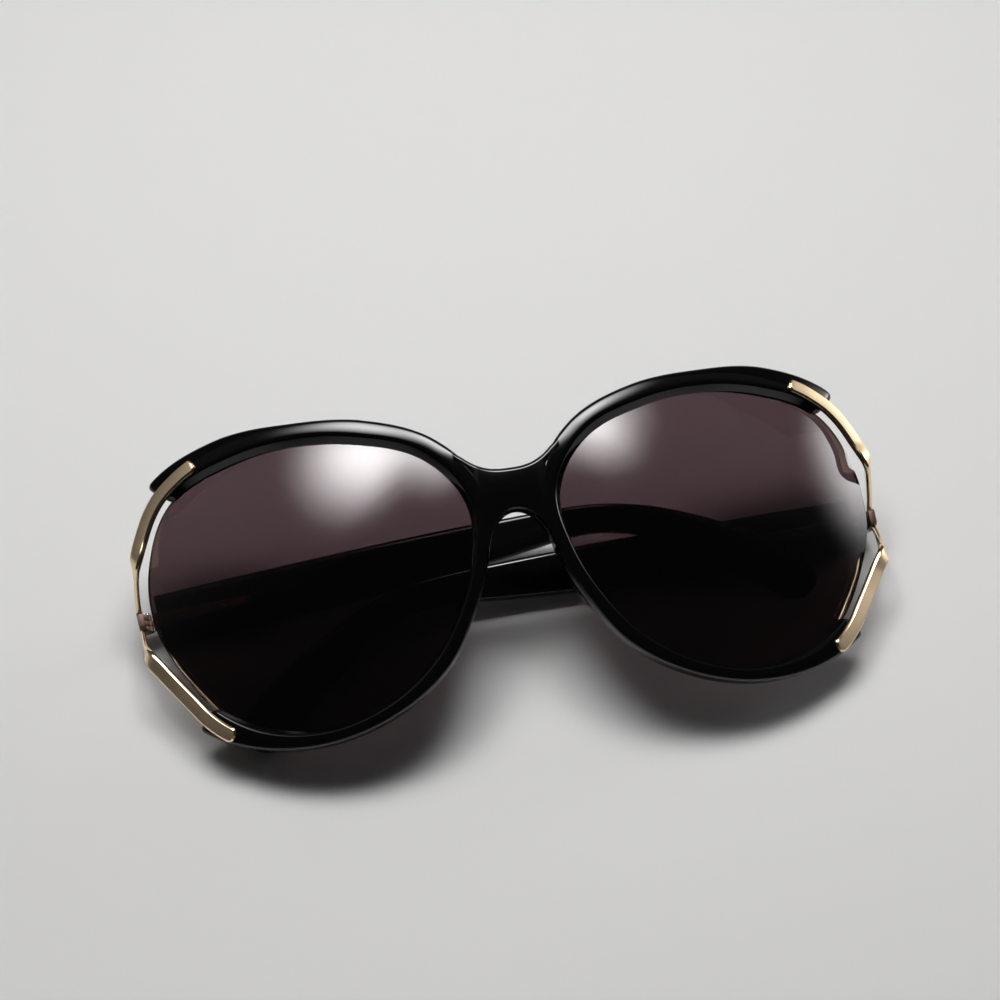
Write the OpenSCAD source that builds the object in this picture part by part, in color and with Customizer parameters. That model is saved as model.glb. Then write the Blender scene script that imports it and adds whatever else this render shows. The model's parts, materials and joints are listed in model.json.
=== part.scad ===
// Round oversized sunglasses, lying folded on their temples with the front facing up.
// One side is drawn and mirrored for the other. The front is drawn flat, with the hinge line at zero
// height and the crown of the rims at zero depth, and is then wrapped round an upright cylinder.

/* [Front] */
// Flat width that the lens outline is scaled to
lens_w = 62; // [58:0.5:64]
// Height that the lens outline is scaled to
lens_h = 53.5; // [48:0.5:58]
// Flat gap between the two lens outlines at the nose
nose_gap = 16; // [15:0.5:18]
// Radius of the upright cylinder that the front is wrapped round
wrap_r = 160; // [140:5:220]
// Depth of the front from its crown to its back
front_t = 4.4; // [4.2:0.1:5]
// Band of acetate outside the lens where it is widest, at the prongs
rim_w = 5.5; // [5:0.1:6]
// Top of the bridge over the hinge line
bridge_top = 13.8; // [12.4:0.2:14.4]
// Top of the nose arch over the hinge line
arch_top = 5.9; // [5:0.1:7]
// Half width of the nose arch
arch_half_w = 6.6; // [6.2:0.1:7]
// How far the bridge face is set back behind the rims
bridge_set_back = 0.35; // [0.2:0.05:0.6]

/* [Lenses] */
// Thickness of each lens
lens_t = 1.9; // [1.6:0.1:2.1]
// How far the middle of a lens stands in front of its edge
lens_bulge = 3; // [2:0.1:4]
// How deep the lens edge sits in the groove
lens_inset = 0.6; // [0.45:0.05:0.7]
// Free space between the lens edge and the bottom of the groove
groove_clear = 0.08; // [0.05:0.01:0.12]

/* [Bars] */
// Width of the metal bars on the front
bar_w = 2.5; // [2.3:0.1:2.8]
// Thickness of the metal bars
bar_t = 1.3; // [1.1:0.1:1.5]
// How far the bars stand proud of the acetate
bar_proud = 0.45; // [0.3:0.05:0.6]
// Width of the rods that carry the bars to the hinge
rod_w = 1.3; // [1.1:0.1:1.5]

/* [Hinges] */
// How far each hinge axis stands outside the lens's outer edge
hinge_beside = 1.65; // [1.2:0.05:3]
// How far each hinge axis lies behind the lens's outer edge
hinge_behind = 10.9; // [10.5:0.1:13]
// Outer radius of the hinge knuckles
knuckle_r = 1.25; // [1.15:0.05:1.4]
// Height of each of the three knuckles
knuckle_h = 1.05; // [0.95:0.05:1.2]
// Radius of the hinge screw
screw_r = 0.7; // [0.55:0.05:0.8]
// Radial running clearance of the hinge screw
run_clear = 0.03; // [0.02:0.01:0.06]
// Side play between two knuckles
knuckle_play = 0.04; // [0.03:0.01:0.06]
// Thickness of the hinge tongue
tongue_t = 1.3; // [1.1:0.1:1.4]
// Height of the hinge tongue where it shows
tongue_h = 2.9; // [2.6:0.1:3.1]
// Length of the tapered blade let into the temple
blade_l = 17.5; // [14:0.5:20]

/* [Temples] */
// How far a folded temple stops short of the other hinge axis
temple_short = 14.9; // [10:0.1:20]
// Height of the temple at its front end
temple_h = 9.8; // [9:0.2:10.6]
// Thickness of the temple at its front end
temple_t = 3.8; // [3.6:0.1:4.1]
// Drop of the ear end below the hinge line
ear_drop = 24.5; // [21:0.5:27]
// How far the ear end bows towards the head
ear_bow = 9.5; // [8.5:0.25:10]
// Width of the core wire inside each temple
core_w = 2.2; // [1.8:0.1:2.4]
// Thickness of the core wire
core_t = 0.8; // [0.6:0.1:0.9]

/* [Nose pads] */
// Length of each nose pad down the rim
pad_l = 14; // [12:0.5:16]
// How far each nose pad stands back from the rim
pad_depth = 6; // [5:0.25:7]
// Thickness of each nose pad at its root
pad_t = 3.2; // [2.8:0.1:3.6]

/* [Resting pose] */
// Angle by which the front leans towards the viewer
rest_tilt = 22.18; // [18:0.01:26]
// Angle by which the front leans to one side
rest_roll = -0.09; // [-3:0.01:3]
// Upward lean of the folded temple that lies nearest the lenses
lean_upper = 5.9; // [4.5:0.1:6.5]
// Upward lean of the folded temple that lies beneath it
lean_lower = -1; // [-2:0.1:0]
// Angle by which the upper temple's tip points back from the lenses
tip_back_upper = 0.3; // [0:0.1:0.6]
// Angle by which the lower temple's tip points back from the lenses
tip_back_lower = -0.2; // [-0.4:0.1:1.4]

/* [Hidden] */

// Cuts run past the faces they open by this much
overrun = 1;
// Fixed pieces let into each other keep this much free all round
seat = 0.02;
curve_fn = 48;
// The start and end of a closed form shrink to this share
point_share = 0.02;
middle_share = 0.5;

acetate = [0.05, 0.05, 0.055];
gold = [0.83, 0.68, 0.42];
smoke = [0.3, 0.25, 0.26, 0.6];
steel = [0.75, 0.75, 0.76];

// Outlines are read at sixteen even angles round the lens centre, from the outer side upwards
outline_angle = 22.5;
lens_shares = [
    1.015, 1.083, 1.11, 1.068, 1.03, 1.037, 1.1, 1.085,
    0.985, 0.935, 0.957, 0.987, 1.025, 1.035, 0.988, 0.967
];
rim_shares = [
    1, 1.1, 1.26, 0.98, 0.68, 0.72, 0.64, 0.58,
    0.46, 0.38, 0.39, 0.35, 0.33, 0.44, 0.84, 1
];
// Height of the lens centre below the hinge line
lens_drop = 2;
// The rim is open on the outer side, between its two prongs
prong_upper_angle = 45;
prong_lower_angle = 315;
rim_step_angle = 4.5;
prong_round = 1.1;
prong_end_shares = [[0, 0.74], [0.12, 0.88], [0.45, 0.97], [1, 1]];

// Depth of the middle of the lens groove, and half the height of its mouth as a share of the lens
lens_depth = 2.6;
mouth_share = 0.6;
// Rim section from the front lip round to the back lip: share of the band, share of the depth
section_shares = [
    [0.27, 0.03], [0.45, 0], [0.68, 0.02], [0.85, 0.1], [0.96, 0.27], [1, 0.5],
    [0.96, 0.76], [0.84, 0.93], [0.64, 1], [0.28, 1], [0.06, 0.93]
];
// Lens: share of the way out and side of the mid surface, from the front pole to the back pole
lens_ring_shares = [
    [point_share, 1], [0.3, 1], [0.58, 1], [0.82, 1], [0.82, -1], [0.58, -1], [0.3, -1], [point_share, -1]
];
// The edge bevel runs in almost as far as the groove does
lens_bevel_share = 0.9;
lens_bevel = lens_bevel_share * lens_inset;

bridge_rise_share = 0.207;
bridge_rise_power = 2.75;
arch_fall_share = 1.9;
// The bridge's rings on one side as shares of the arch's half width: the arch, then the wing on the rim
arch_ring_shares = [0, 0.16, 0.32, 0.48, 0.62, 0.74, 0.84, 0.91, 0.96];
wing_ring_shares = [1.1, 1.2, 1.3, 1.4, 1.49];
// Height of the wings, and how far and where they settle onto the rims' outline
wing_h = 2.6;
wing_settle = 0.5;
wing_from_share = 1.2;
wing_span_share = 0.3;
wing_front = 0.1;
bridge_round = 0.9;
bridge_corner_share = 0.33;

// Bars: angle round the lens, distance outside it as a share of the rim band, lift as a share of thickness
bar_upper_shares = [
    [59.2, 0.49, 0], [53, 0.49, 0], [45, 0.485, 0], [38, 0.42, 0.15], [30, 0.3, 0.5], [22.5, 0.22, 1]
];
bar_lower_shares = [
    [302, 0.31, 0], [308, 0.32, 0], [315, 0.3, 0], [323, 0.26, 0],
    [331, 0.31, 0], [339, 0.41, 0.1], [346, 0.52, 0.3]
];
bar_corner = 0.32;
// Corner radius of a bar's blunt tip, and where its rings stand along that radius
bar_tip_r = 1.1;
bar_tip_shares = [0, 0.07, 0.25, 0.55, 1];
bar_ring_count = 4;
rod_t = 0.95;
rod_mid_shares = [[0.35, 0.6], [0.75, 1]];
// A bar narrows and turns edge on from this many spans before its end, over this many spans
turn_from_count = 3.6;
turn_span_count = 1.8;
slot_span_count = 3;
bar_screw_r = 0.5;
bar_screw_head_r = 0.75;
bar_screw_head_h = 0.5;
bar_screw_sunk = 0.15;
bar_screw_bite = 0.6;
bar_screw_span = 1;

block_t = 1.2;
block_front = 5;
block_corner = 0.5;
rod_seat_z = 3.5;
screw_head_r = 1.05;
screw_head_h = 0.45;
screw_slot_w = 0.3;
screw_slot_depth = 0.22;
window_w = 0.95;
window_h = 1;
window_x = 2.1;
tongue_free = 2.9;
neck_gap = 0.1;
blade_t = 0.9;
blade_tip_share = 0.52;
blade_proud = 0.1;
rivet_r = 0.45;
rivet_depth = 1.8;
rivet_place_shares = [0.22, 0.68];

// Temple stations: share of its length, drop, height, thickness and bow as shares of the named sizes
temple_shares = [
    [0, 0, 1, 1, 0], [0.1, 0, 1.01, 1, 0], [0.23, 0, 0.98, 0.97, 0], [0.38, 0, 0.92, 0.93, 0.02],
    [0.54, 0, 0.75, 0.9, 0.09], [0.65, 0.01, 0.58, 0.84, 0.2], [0.72, 0.07, 0.55, 0.8, 0.33],
    [0.79, 0.215, 0.6, 0.8, 0.48], [0.86, 0.46, 0.78, 0.82, 0.64], [0.925, 0.73, 0.87, 0.82, 0.8],
    [0.963, 0.914, 0.86, 0.79, 0.91]
];
temple_ring_count = 3;
temple_ring_shares = [
    [0.5, 0.32], [0.5, -0.32], [0.455, -0.45], [0.36, -0.5], [-0.36, -0.5], [-0.455, -0.45],
    [-0.5, -0.32], [-0.5, 0.32], [-0.455, 0.45], [-0.36, 0.5], [0.36, 0.5], [0.455, 0.45]
];
ear_round_shares = [[0.4, 0.93], [0.72, 0.72], [0.92, 0.42], [1, 0.18]];
ear_thin_share = 0.3;
front_round_share = 0.93;
front_round = 0.4;
core_depth_share = 0.68;
core_start = 0.5;
core_span_count = 9;
core_ring_count = 2;

pad_angle = 196;
pad_gap = 0.02;
pad_edge = 0.3;
pad_ring_shares = [[0, 0], [0.06, 0.55], [-0.12, 0.92], [-0.4, 1], [-0.72, 0.85], [-0.98, 0.4], [-1, 0]];
pad_end_shares = [0.35, 0.72, 0.92, 1, 1, 1, 0.92, 0.72, 0.35];
pad_lean_share = 0.3;

function unit(v) = v / norm(v);
function lerp(a, b, t) = a + (b - a) * t;
function ease(t) = let (s = min(max(t, 0), 1)) s * s * (3 - 2 * s);
function spline(a, b, c, d, t) =
    (2 * b + (c - a) * t + (2 * a - 5 * b + 4 * c - d) * t * t + (3 * b - a - 3 * c + d) * t * t * t) / 2;
// Point at t, counted in spans, on the smooth curve through the points p
function curve(p, t) =
    let (n = len(p) - 1, i = min(floor(t), n - 1))
    spline(p[max(i - 1, 0)], p[i], p[i + 1], p[min(i + 2, n)], t - i);
// The same for a table that closes on itself
function around(p, t) =
    let (n = len(p), i = floor(t))
    spline(p[(i + n - 1) % n], p[i % n], p[(i + 1) % n], p[(i + 2) % n], t - i);

// Solid through a row of rings, closed by a fan from each end ring's first point
module skin(rings) {
    n = len(rings[0]);
    m = len(rings);
    sides = [
        for (j = [0:m - 2], i = [0:n - 1])
            let (a = j * n + i, b = j * n + (i + 1) % n, c = a + n, d = b + n)
            each [[a, d, b], [a, c, d]]
    ];
    first = [for (i = [1:n - 2]) [0, i, i + 1]];
    last = [for (i = [1:n - 2]) let (k = (m - 1) * n) [k, k + i + 1, k + i]];
    polyhedron(points = [for (r = rings) each r], faces = concat(sides, first, last));
}

// Flat front to wrapped front
lens_centre = [(nose_gap + lens_w) / 2, -lens_drop];
function wrap(p) =
    let (a = p[0] / wrap_r * 180 / PI, r = wrap_r + p[2])
    [r * sin(a), p[1], r * cos(a) - wrap_r];
function lens_spoke(a) = [lens_w / 2 * cos(a), lens_h / 2 * sin(a)];
function lens_edge(a) = lens_spoke(a) * around(lens_shares, (a % 360) / outline_angle);
function band(a) = rim_w * around(rim_shares, (a % 360) / outline_angle);
// Point at angle a round the lens, at a distance outside its edge and a height over the crown
function by_lens(a, out, z) =
    let (p = lens_centre + lens_edge(a) + unit(lens_spoke(a)) * out)
    wrap([p[0], p[1], z]);

// Rims: one section, swept round each lens from prong to prong
mouth = mouth_share * lens_t;
function rim_section(a) =
    let (all = band(a) + lens_inset)
    concat(
        [[groove_clear, -lens_depth], [-lens_inset, mouth - lens_depth]],
        [for (s = section_shares) [s[0] * all - lens_inset, -s[1] * front_t]],
        [[-lens_inset, -mouth - lens_depth]]
    );
function rim_ring(a, k) =
    let (c = [band(a) / 2, -front_t / 2])
    [for (p = rim_section(a)) let (q = lerp(c, p, k)) by_lens(a, q[0], q[1])];
prong_turn = prong_round / (lens_h / 2) * 180 / PI;
rim_rings = concat(
    [for (s = prong_end_shares) rim_ring(prong_upper_angle + prong_turn * s[0], s[1])],
    [
        for (a = [prong_upper_angle + rim_step_angle:rim_step_angle:prong_lower_angle - rim_step_angle])
            rim_ring(a, 1)
    ],
    [for (i = [len(prong_end_shares) - 1:-1:0]) let (s = prong_end_shares[i])
        rim_ring(prong_lower_angle - prong_turn * s[0], s[1])]
);

// Bridge: a loft across the nose, set back a little behind the rims and faired into them by two wings
function bridge_low(x) = arch_top - arch_half_w * arch_fall_share * (1 - sqrt(1 - pow(x / arch_half_w, 2)));
function bridge_high(x) =
    let (settled = ease((x / arch_half_w - wing_from_share) / wing_span_share))
    bridge_top * (1 + bridge_rise_share * pow(2 * x / nose_gap, bridge_rise_power)) - wing_settle * settled;
function bridge_ring(side, x, wing) =
    let (
        hi = bridge_high(x), lo = wing > 0 ? hi - wing_h : bridge_low(x), b = seat - front_t,
        f = -lerp(bridge_set_back, wing_front, wing), r = bridge_round, c = bridge_round * bridge_corner_share
    )
    [
        for (p = [
            [lo + r, f], [hi - r, f], [hi - c, f - c], [hi, f - r],
            [hi, b + r], [hi - r, b], [lo + r, b], [lo, b + r], [lo, f - r], [lo + c, f - c]
        ])
        wrap([side * x, p[0], p[1]])
    ];
arch_last = len(arch_ring_shares) - 1;
wing_last = len(wing_ring_shares) - 1;
bridge_rings = concat(
    [for (i = [wing_last:-1:0]) bridge_ring(1, wing_ring_shares[i] * arch_half_w, 1)],
    [for (i = [arch_last:-1:0]) bridge_ring(1, arch_ring_shares[i] * arch_half_w, 0)],
    [for (i = [1:arch_last]) bridge_ring(-1, arch_ring_shares[i] * arch_half_w, 0)],
    [for (i = [0:wing_last]) bridge_ring(-1, wing_ring_shares[i] * arch_half_w, 1)]
);

// Hinge frame of one side: x outwards, y up the axis, z forwards
lens_out = wrap([nose_gap / 2 + lens_w, 0, 0]);
hinge_x = lens_out[0] + hinge_beside;
hinge_z = hinge_behind - lens_out[2];
block_h = 3 * knuckle_h + 2 * knuckle_play;
function from_hinge(p, lean) =
    [p[0] * cos(lean) + p[1] * sin(lean) + hinge_x, p[1] * cos(lean) - p[0] * sin(lean), p[2] - hinge_z];
module at_hinge(lean) {
    translate([hinge_x, 0, -hinge_z]) rotate([0, 0, -lean]) children();
}

// Bars: on the prongs they follow the band, then they run free, turn edge on and reach the hinge block
bar_z = bar_proud - bar_t / 2;
function bar_path(table, up, lean) =
    let (
        rim = [for (s = table) by_lens(s[0], s[1] * rim_w, bar_z + s[2] * bar_t)],
        kink = rim[len(rim) - 1],
        foot = from_hinge([knuckle_r - block_t / 2, up * block_h / 2, rod_seat_z], lean)
    )
    concat(
        rim,
        [
            for (s = rod_mid_shares)
                let (q = lerp(kink, foot, s[0]))
                [lerp(kink[0], foot[0], s[1]), q[1], q[2]]
        ],
        [foot]
    );
// Centre, width direction and face direction of a bar at t
function bar_frame(path, t, foot_dir) =
    let (
        n = len(path) - 1, e = point_share, p = curve(path, t),
        d = t == n ? foot_dir : unit(curve(path, min(t + e, n)) - curve(path, max(t - e, 0))),
        a = lerp(p[0] / wrap_r * 180 / PI, 90, ease((t - n + turn_from_count) / turn_span_count)),
        s = unit(cross(d, [sin(a), 0, cos(a)]))
    )
    [p, s, cross(s, d)];
function bar_tip_half(path, t) =
    let (e = min(norm(curve(path, t) - path[0]), bar_tip_r))
    bar_w / 2 - bar_tip_r + sqrt(pow(bar_tip_r, 2) - pow(bar_tip_r - e, 2));
function bar_stations(path, last) =
    let (tip = bar_tip_r / norm(path[1] - path[0]))
    concat(
        [for (s = bar_tip_shares) s * tip],
        [for (i = [1:last * bar_ring_count]) if (i / bar_ring_count > tip + point_share) i / bar_ring_count]
    );
function bar_rings(path, foot_dir) =
    [
        for (t = bar_stations(path, len(path) - 1))
            let (
                k = ease((t - len(path) + 1 + turn_from_count) / turn_span_count),
                y = min(lerp(bar_w, rod_w, k) / 2, bar_tip_half(path, t)), z = lerp(bar_t, rod_t, k) / 2,
                c = min(bar_corner, y / 2), g = bar_frame(path, t, foot_dir)
            )
            [
                for (q = [
                    [y - c, z], [y, z - c], [y, c - z], [y - c, -z],
                    [c - y, -z], [-y, c - z], [-y, z - c], [c - y, z]
                ])
                g[0] + g[1] * q[0] + g[2] * q[1]
            ]
    ];
// The slot that a bar lies in, open to the front and past the prong's end
function slot_rings(path) =
    [
        for (t = bar_stations(path, slot_span_count))
            let (y = bar_tip_half(path, t) + seat, z = bar_t / 2 + seat, g = bar_frame(path, t, [0, 0, 0]))
            [for (q = [[y, bar_t], [y, -z], [-y, -z], [-y, bar_t]]) g[0] + g[1] * q[0] + g[2] * q[1]]
    ];
bar_upper_path = bar_path(bar_upper_shares, 1, lean_lower);
bar_lower_path = bar_path(bar_lower_shares, -1, lean_lower);

module at_bar_screw(path) {
    g = bar_frame(path, bar_screw_span, [0, 0, 0]);
    x = cross(g[1], g[2]);
    multmatrix([
        [g[1][0], -x[0], g[2][0], g[0][0]],
        [g[1][1], -x[1], g[2][1], g[0][1]],
        [g[1][2], -x[2], g[2][2], g[0][2]],
        [0, 0, 0, 1]
    ])
    children();
}
bar_back = front_t + bar_z;
module bar_screw(clear) {
    head_top = bar_back - bar_screw_sunk - bar_screw_head_h;
    past = clear > 0 ? overrun : 0;
    reach = head_top + seat + bar_screw_bite - bar_t / 2;
    translate([0, 0, -bar_back + bar_screw_sunk - past])
        cylinder(r = bar_screw_head_r + clear, h = bar_screw_head_h + past, $fn = curve_fn);
    translate([0, 0, -head_top - seat]) cylinder(r = bar_screw_r + clear, h = reach + clear, $fn = curve_fn);
}

module rim_side() {
    difference() {
        skin(rim_rings);
        for (path = [bar_upper_path, bar_lower_path]) {
            skin(slot_rings(path));
            at_bar_screw(path) bar_screw(seat);
        }
    }
}
module front_frame() {
    color(acetate) placed() union() {
        rim_side();
        mirror([1, 0, 0]) rim_side();
        skin(bridge_rings);
    }
}

// Lens: two bulged faces that meet the groove in a bevelled edge
function lens_ring(k, side) =
    [
        for (a = [360:-rim_step_angle:rim_step_angle])
            let (p = lens_centre + lens_edge(a) * k)
            wrap([p[0], p[1], side * lens_t / 2 - lens_depth + lens_bulge * (1 - k * k)])
    ];
function lens_rim(out, z) = [for (a = [360:-rim_step_angle:rim_step_angle]) by_lens(a, out, z - lens_depth)];
lens_rings = concat(
    [for (s = lens_ring_shares) if (s[1] > 0) lens_ring(s[0], s[1])],
    [lens_rim(-lens_bevel, lens_t / 2), lens_rim(0, 0), lens_rim(-lens_bevel, -lens_t / 2)],
    [for (s = lens_ring_shares) if (s[1] < 0) lens_ring(s[0], s[1])]
);
module lens() {
    color(smoke) skin(lens_rings);
}

// Nose pad: a curved tongue of acetate glued behind the rim beside the nose
pad_turn = pad_l / (lens_h / 2) * 180 / PI;
function pad_ring(t, k) =
    let (a = pad_angle + pad_turn * (t - middle_share), edge = band(a) - pad_edge)
    [
        for (p = pad_ring_shares)
            by_lens(
                a,
                edge + lerp(p[0], -middle_share, 1 - k) * pad_t - pad_lean_share * p[1] * pad_depth * k,
                -front_t - pad_gap - p[1] * pad_depth * k
            )
    ];
module nose_pad() {
    n = len(pad_end_shares) - 1;
    color(acetate) skin([for (i = [0:n]) pad_ring(i / n, pad_end_shares[i])]);
}

module bar(path, foot_dir) {
    color(gold) difference() {
        skin(bar_rings(path, foot_dir));
        at_bar_screw(path) bar_screw(seat);
    }
}
module bar_upper(lean) {
    bar(bar_path(bar_upper_shares, 1, lean), [sin(-lean), -cos(lean), 0]);
}
module bar_lower(lean) {
    bar(bar_path(bar_lower_shares, -1, lean), [sin(lean), cos(lean), 0]);
}

// Hinge block: a plate on edge with an upper and a lower knuckle
module upright(r, h, y) {
    translate([0, y + h / 2, 0]) rotate([90, 0, 0]) cylinder(r = r, h = h, $fn = curve_fn);
}
module hinge_block() {
    slot_h = knuckle_h + 2 * knuckle_play;
    color(gold) difference() {
        union() {
            translate([knuckle_r - block_t, 0, 0]) rotate([90, 0, 90]) linear_extrude(block_t)
                polygon([
                    [-block_h / 2, 0], [block_h / 2, 0],
                    [block_h / 2, block_front - block_corner], [block_h / 2 - block_corner, block_front],
                    [block_corner - block_h / 2, block_front], [-block_h / 2, block_front - block_corner]
                ]);
            upright(knuckle_r, block_h, 0);
        }
        upright(knuckle_r + neck_gap, slot_h, 0);
        upright(screw_r + seat, block_h + 2 * overrun, 0);
    }
}

module hinge_screw() {
    color(steel) difference() {
        union() {
            upright(screw_r, block_h, 0);
            upright(screw_head_r, screw_head_h, (block_h + screw_head_h) / 2);
        }
        translate([-screw_head_r - overrun, block_h / 2 + screw_head_h - screw_slot_depth, -screw_slot_w / 2])
            cube([2 * (screw_head_r + overrun), screw_slot_depth + overrun, screw_slot_w]);
    }
}

// Temple frame: as the hinge frame, with the temple pointing inwards along -x when folded
module at_temple(lean, tip_back) {
    at_hinge(lean) rotate([0, -tip_back, 0]) children();
}

// Hinge tongue: a knuckle, a neck with a window, and a tapered blade let into the temple
blade_end = tongue_free + blade_l;
blade_tip_h = tongue_h * blade_tip_share;
module blade_outline(gap) {
    polygon([
        [-tongue_free, tongue_h / 2 + gap], [-tongue_free, -tongue_h / 2 - gap],
        [-blade_end - gap, -blade_tip_h / 2 - gap], [-blade_end - gap, blade_tip_h / 2 + gap]
    ]);
}
module hinge_tongue() {
    neck = knuckle_r + neck_gap;
    color(gold) difference() {
        union() {
            upright(knuckle_r, knuckle_h, 0);
            translate([0, 0, -tongue_t / 2]) linear_extrude(tongue_t) {
                translate([-neck, -knuckle_h / 2]) square([neck, knuckle_h]);
                translate([-tongue_free, -tongue_h / 2]) square([tongue_free - neck, tongue_h]);
            }
            translate([0, 0, tongue_t / 2 - blade_t]) linear_extrude(blade_t) blade_outline(0);
        }
        upright(screw_r + run_clear, knuckle_h + 2 * overrun, 0);
        translate([-window_x - window_w / 2, -window_h / 2, -tongue_t])
            cube([window_w, window_h, 2 * tongue_t]);
        tongue_rivet_holes(seat, 0);
    }
}

module tongue_rivet_holes(clear, below) {
    h = rivet_depth + below + (clear > 0 ? overrun : 0);
    for (s = rivet_place_shares)
        translate([-tongue_free - s * blade_l, 0, tongue_t / 2 - rivet_depth - below])
            cylinder(r = rivet_r + clear, h = h, $fn = curve_fn);
}
module tongue_rivets() {
    color(gold) tongue_rivet_holes(0, 0);
}

// Temple centre line, in its own frame: how far along, height, inner face
temple_l = 2 * hinge_x - temple_short;
temple_from = tongue_free;
inner_face = tongue_t / 2 - blade_proud;
function temple_at(t) =
    let (s = curve(temple_shares, t))
    [-temple_from - s[0] * (temple_l - temple_from), -s[1] * ear_drop, inner_face + s[4] * ear_bow];
function temple_frame(t) =
    let (
        e = point_share, n = len(temple_shares) - 1,
        d = temple_at(min(t + e, n)) - temple_at(max(t - e, 0)), k = norm([d[0], d[1]])
    )
    [temple_at(t), [-d[0], -d[1], 0] / k, [d[1], -d[0], 0] / k, [0, 0, 1], curve(temple_shares, t)];
function temple_ring(t, k, ahead) =
    let (
        g = temple_frame(t), h = g[4][2] * temple_h * k, w = g[4][3] * temple_t,
        thin = lerp(1, k, ear_thin_share)
    )
    [
        for (p = temple_ring_shares)
            g[0] - g[1] * ahead + g[2] * p[0] * h + g[3] * (p[1] * thin - middle_share) * w
    ];
temple_spans = len(temple_shares) - 1;
ear_h = temple_shares[temple_spans][2] * temple_h;
temple_rings = concat(
    [temple_ring(0, front_round_share, 0)],
    [temple_ring(0, 1, front_round)],
    [for (i = [1:temple_spans * temple_ring_count]) temple_ring(i / temple_ring_count, 1, 0)],
    [for (s = ear_round_shares) temple_ring(temple_spans, s[1], s[0] * ear_h / 2)]
);
// The core wire's ring, and the row of rings from its front end, which may start short of the temple's own
function core_ring(t, gap, ahead) =
    let (
        g = temple_frame(t), y = core_w / 2 + gap, z = core_t / 2 + gap,
        c = g[0] - g[3] * core_depth_share * g[4][3] * temple_t - g[1] * ahead
    )
    [for (q = [[y, z], [y, -z], [-y, -z], [-y, z]]) c + g[2] * q[0] + g[3] * q[1]];
function core_rings(gap, ahead) =
    concat(
        [core_ring(0, gap, ahead)],
        [for (i = [1:core_span_count * core_ring_count]) core_ring(i / core_ring_count, gap, 0)]
    );
module core_wire() {
    color(steel) skin(core_rings(0, core_start));
}
module temple() {
    color(acetate) difference() {
        skin(temple_rings);
        skin(core_rings(seat, -overrun));
        translate([0, 0, tongue_t / 2 - blade_t - seat])
            linear_extrude(blade_t + overrun) {
                blade_outline(seat);
                translate([-tongue_free - seat, -tongue_h / 2 - seat]) square([overrun, tongue_h + 2 * seat]);
            }
        tongue_rivet_holes(seat, seat);
    }
}

module left() {
    placed() mirror([1, 0, 0]) children();
}
module right() {
    placed() children();
}

// The front is turned by the resting angles, centred, and set down on the temples
function turned(p) =
    let (
        y = p[1] * cos(rest_tilt) - p[2] * sin(rest_tilt),
        z = p[1] * sin(rest_tilt) + p[2] * cos(rest_tilt)
    )
    [p[0] * cos(rest_roll) + z * sin(rest_roll), y, z * cos(rest_roll) - p[0] * sin(rest_roll)];
function flip(p) = [-p[0], p[1], p[2]];
function temple_reach(lean, tip_back) =
    [
        for (r = temple_rings, p = r)
            let (
                x = p[0] * cos(tip_back) - p[2] * sin(tip_back),
                z = p[2] * cos(tip_back) + p[0] * sin(tip_back)
            )
            from_hinge([x, p[1], z], lean)
    ];
function block_reach(lean) =
    [for (y = [-block_h / 2, block_h / 2]) from_hinge([knuckle_r, y, 0], lean)];
function side_reach(lean, tip_back) =
    concat([for (r = rim_rings) each r], temple_reach(lean, tip_back), block_reach(lean));
reach_right = [for (p = side_reach(lean_lower, tip_back_lower)) turned(p)];
reach_left = [for (p = side_reach(lean_upper, tip_back_upper)) turned(flip(p))];
reach_all = concat(reach_right, reach_left);
function middle(i) = let (v = [for (p = reach_all) p[i]]) (min(v) + max(v)) / 2;
rest_shift = [-middle(0), -middle(1), -min([for (p = reach_all) p[2]])];
module placed() {
    translate(rest_shift) rotate([rest_tilt, rest_roll, 0]) children();
}

module lens_left() { left() lens(); }
module lens_right() { right() lens(); }
module nose_pad_left() { left() nose_pad(); }
module nose_pad_right() { right() nose_pad(); }
module bar_upper_left() { left() bar_upper(lean_upper); }
module bar_lower_left() { left() bar_lower(lean_upper); }
module bar_upper_right() { right() bar_upper(lean_lower); }
module bar_lower_right() { right() bar_lower(lean_lower); }
module hinge_block_left() { left() at_hinge(lean_upper) hinge_block(); }
module hinge_block_right() { right() at_hinge(lean_lower) hinge_block(); }
module hinge_screw_left() { left() at_hinge(lean_upper) hinge_screw(); }
module hinge_screw_right() { right() at_hinge(lean_lower) hinge_screw(); }
module temple_left() { left() at_temple(lean_upper, tip_back_upper) temple(); }
module temple_right() { right() at_temple(lean_lower, tip_back_lower) temple(); }
module core_wire_left() { left() at_temple(lean_upper, tip_back_upper) core_wire(); }
module core_wire_right() { right() at_temple(lean_lower, tip_back_lower) core_wire(); }
module hinge_tongue_left() { left() at_temple(lean_upper, tip_back_upper) hinge_tongue(); }
module hinge_tongue_right() { right() at_temple(lean_lower, tip_back_lower) hinge_tongue(); }
module tongue_rivets_left() { left() at_temple(lean_upper, tip_back_upper) tongue_rivets(); }
module tongue_rivets_right() { right() at_temple(lean_lower, tip_back_lower) tongue_rivets(); }
module bar_screws() {
    color(steel) for (path = [bar_upper_path, bar_lower_path]) {
        left() at_bar_screw(path) bar_screw(0);
        right() at_bar_screw(path) bar_screw(0);
    }
}

front_frame();
lens_left();
lens_right();
nose_pad_left();
nose_pad_right();
bar_upper_left();
bar_lower_left();
bar_upper_right();
bar_lower_right();
hinge_block_left();
hinge_block_right();
bar_screws();
hinge_screw_left();
hinge_screw_right();
temple_left();
temple_right();
core_wire_left();
core_wire_right();
hinge_tongue_left();
hinge_tongue_right();
tongue_rivets_left();
tongue_rivets_right();
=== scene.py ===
"""Round sunglasses lying folded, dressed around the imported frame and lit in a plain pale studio."""

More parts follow.
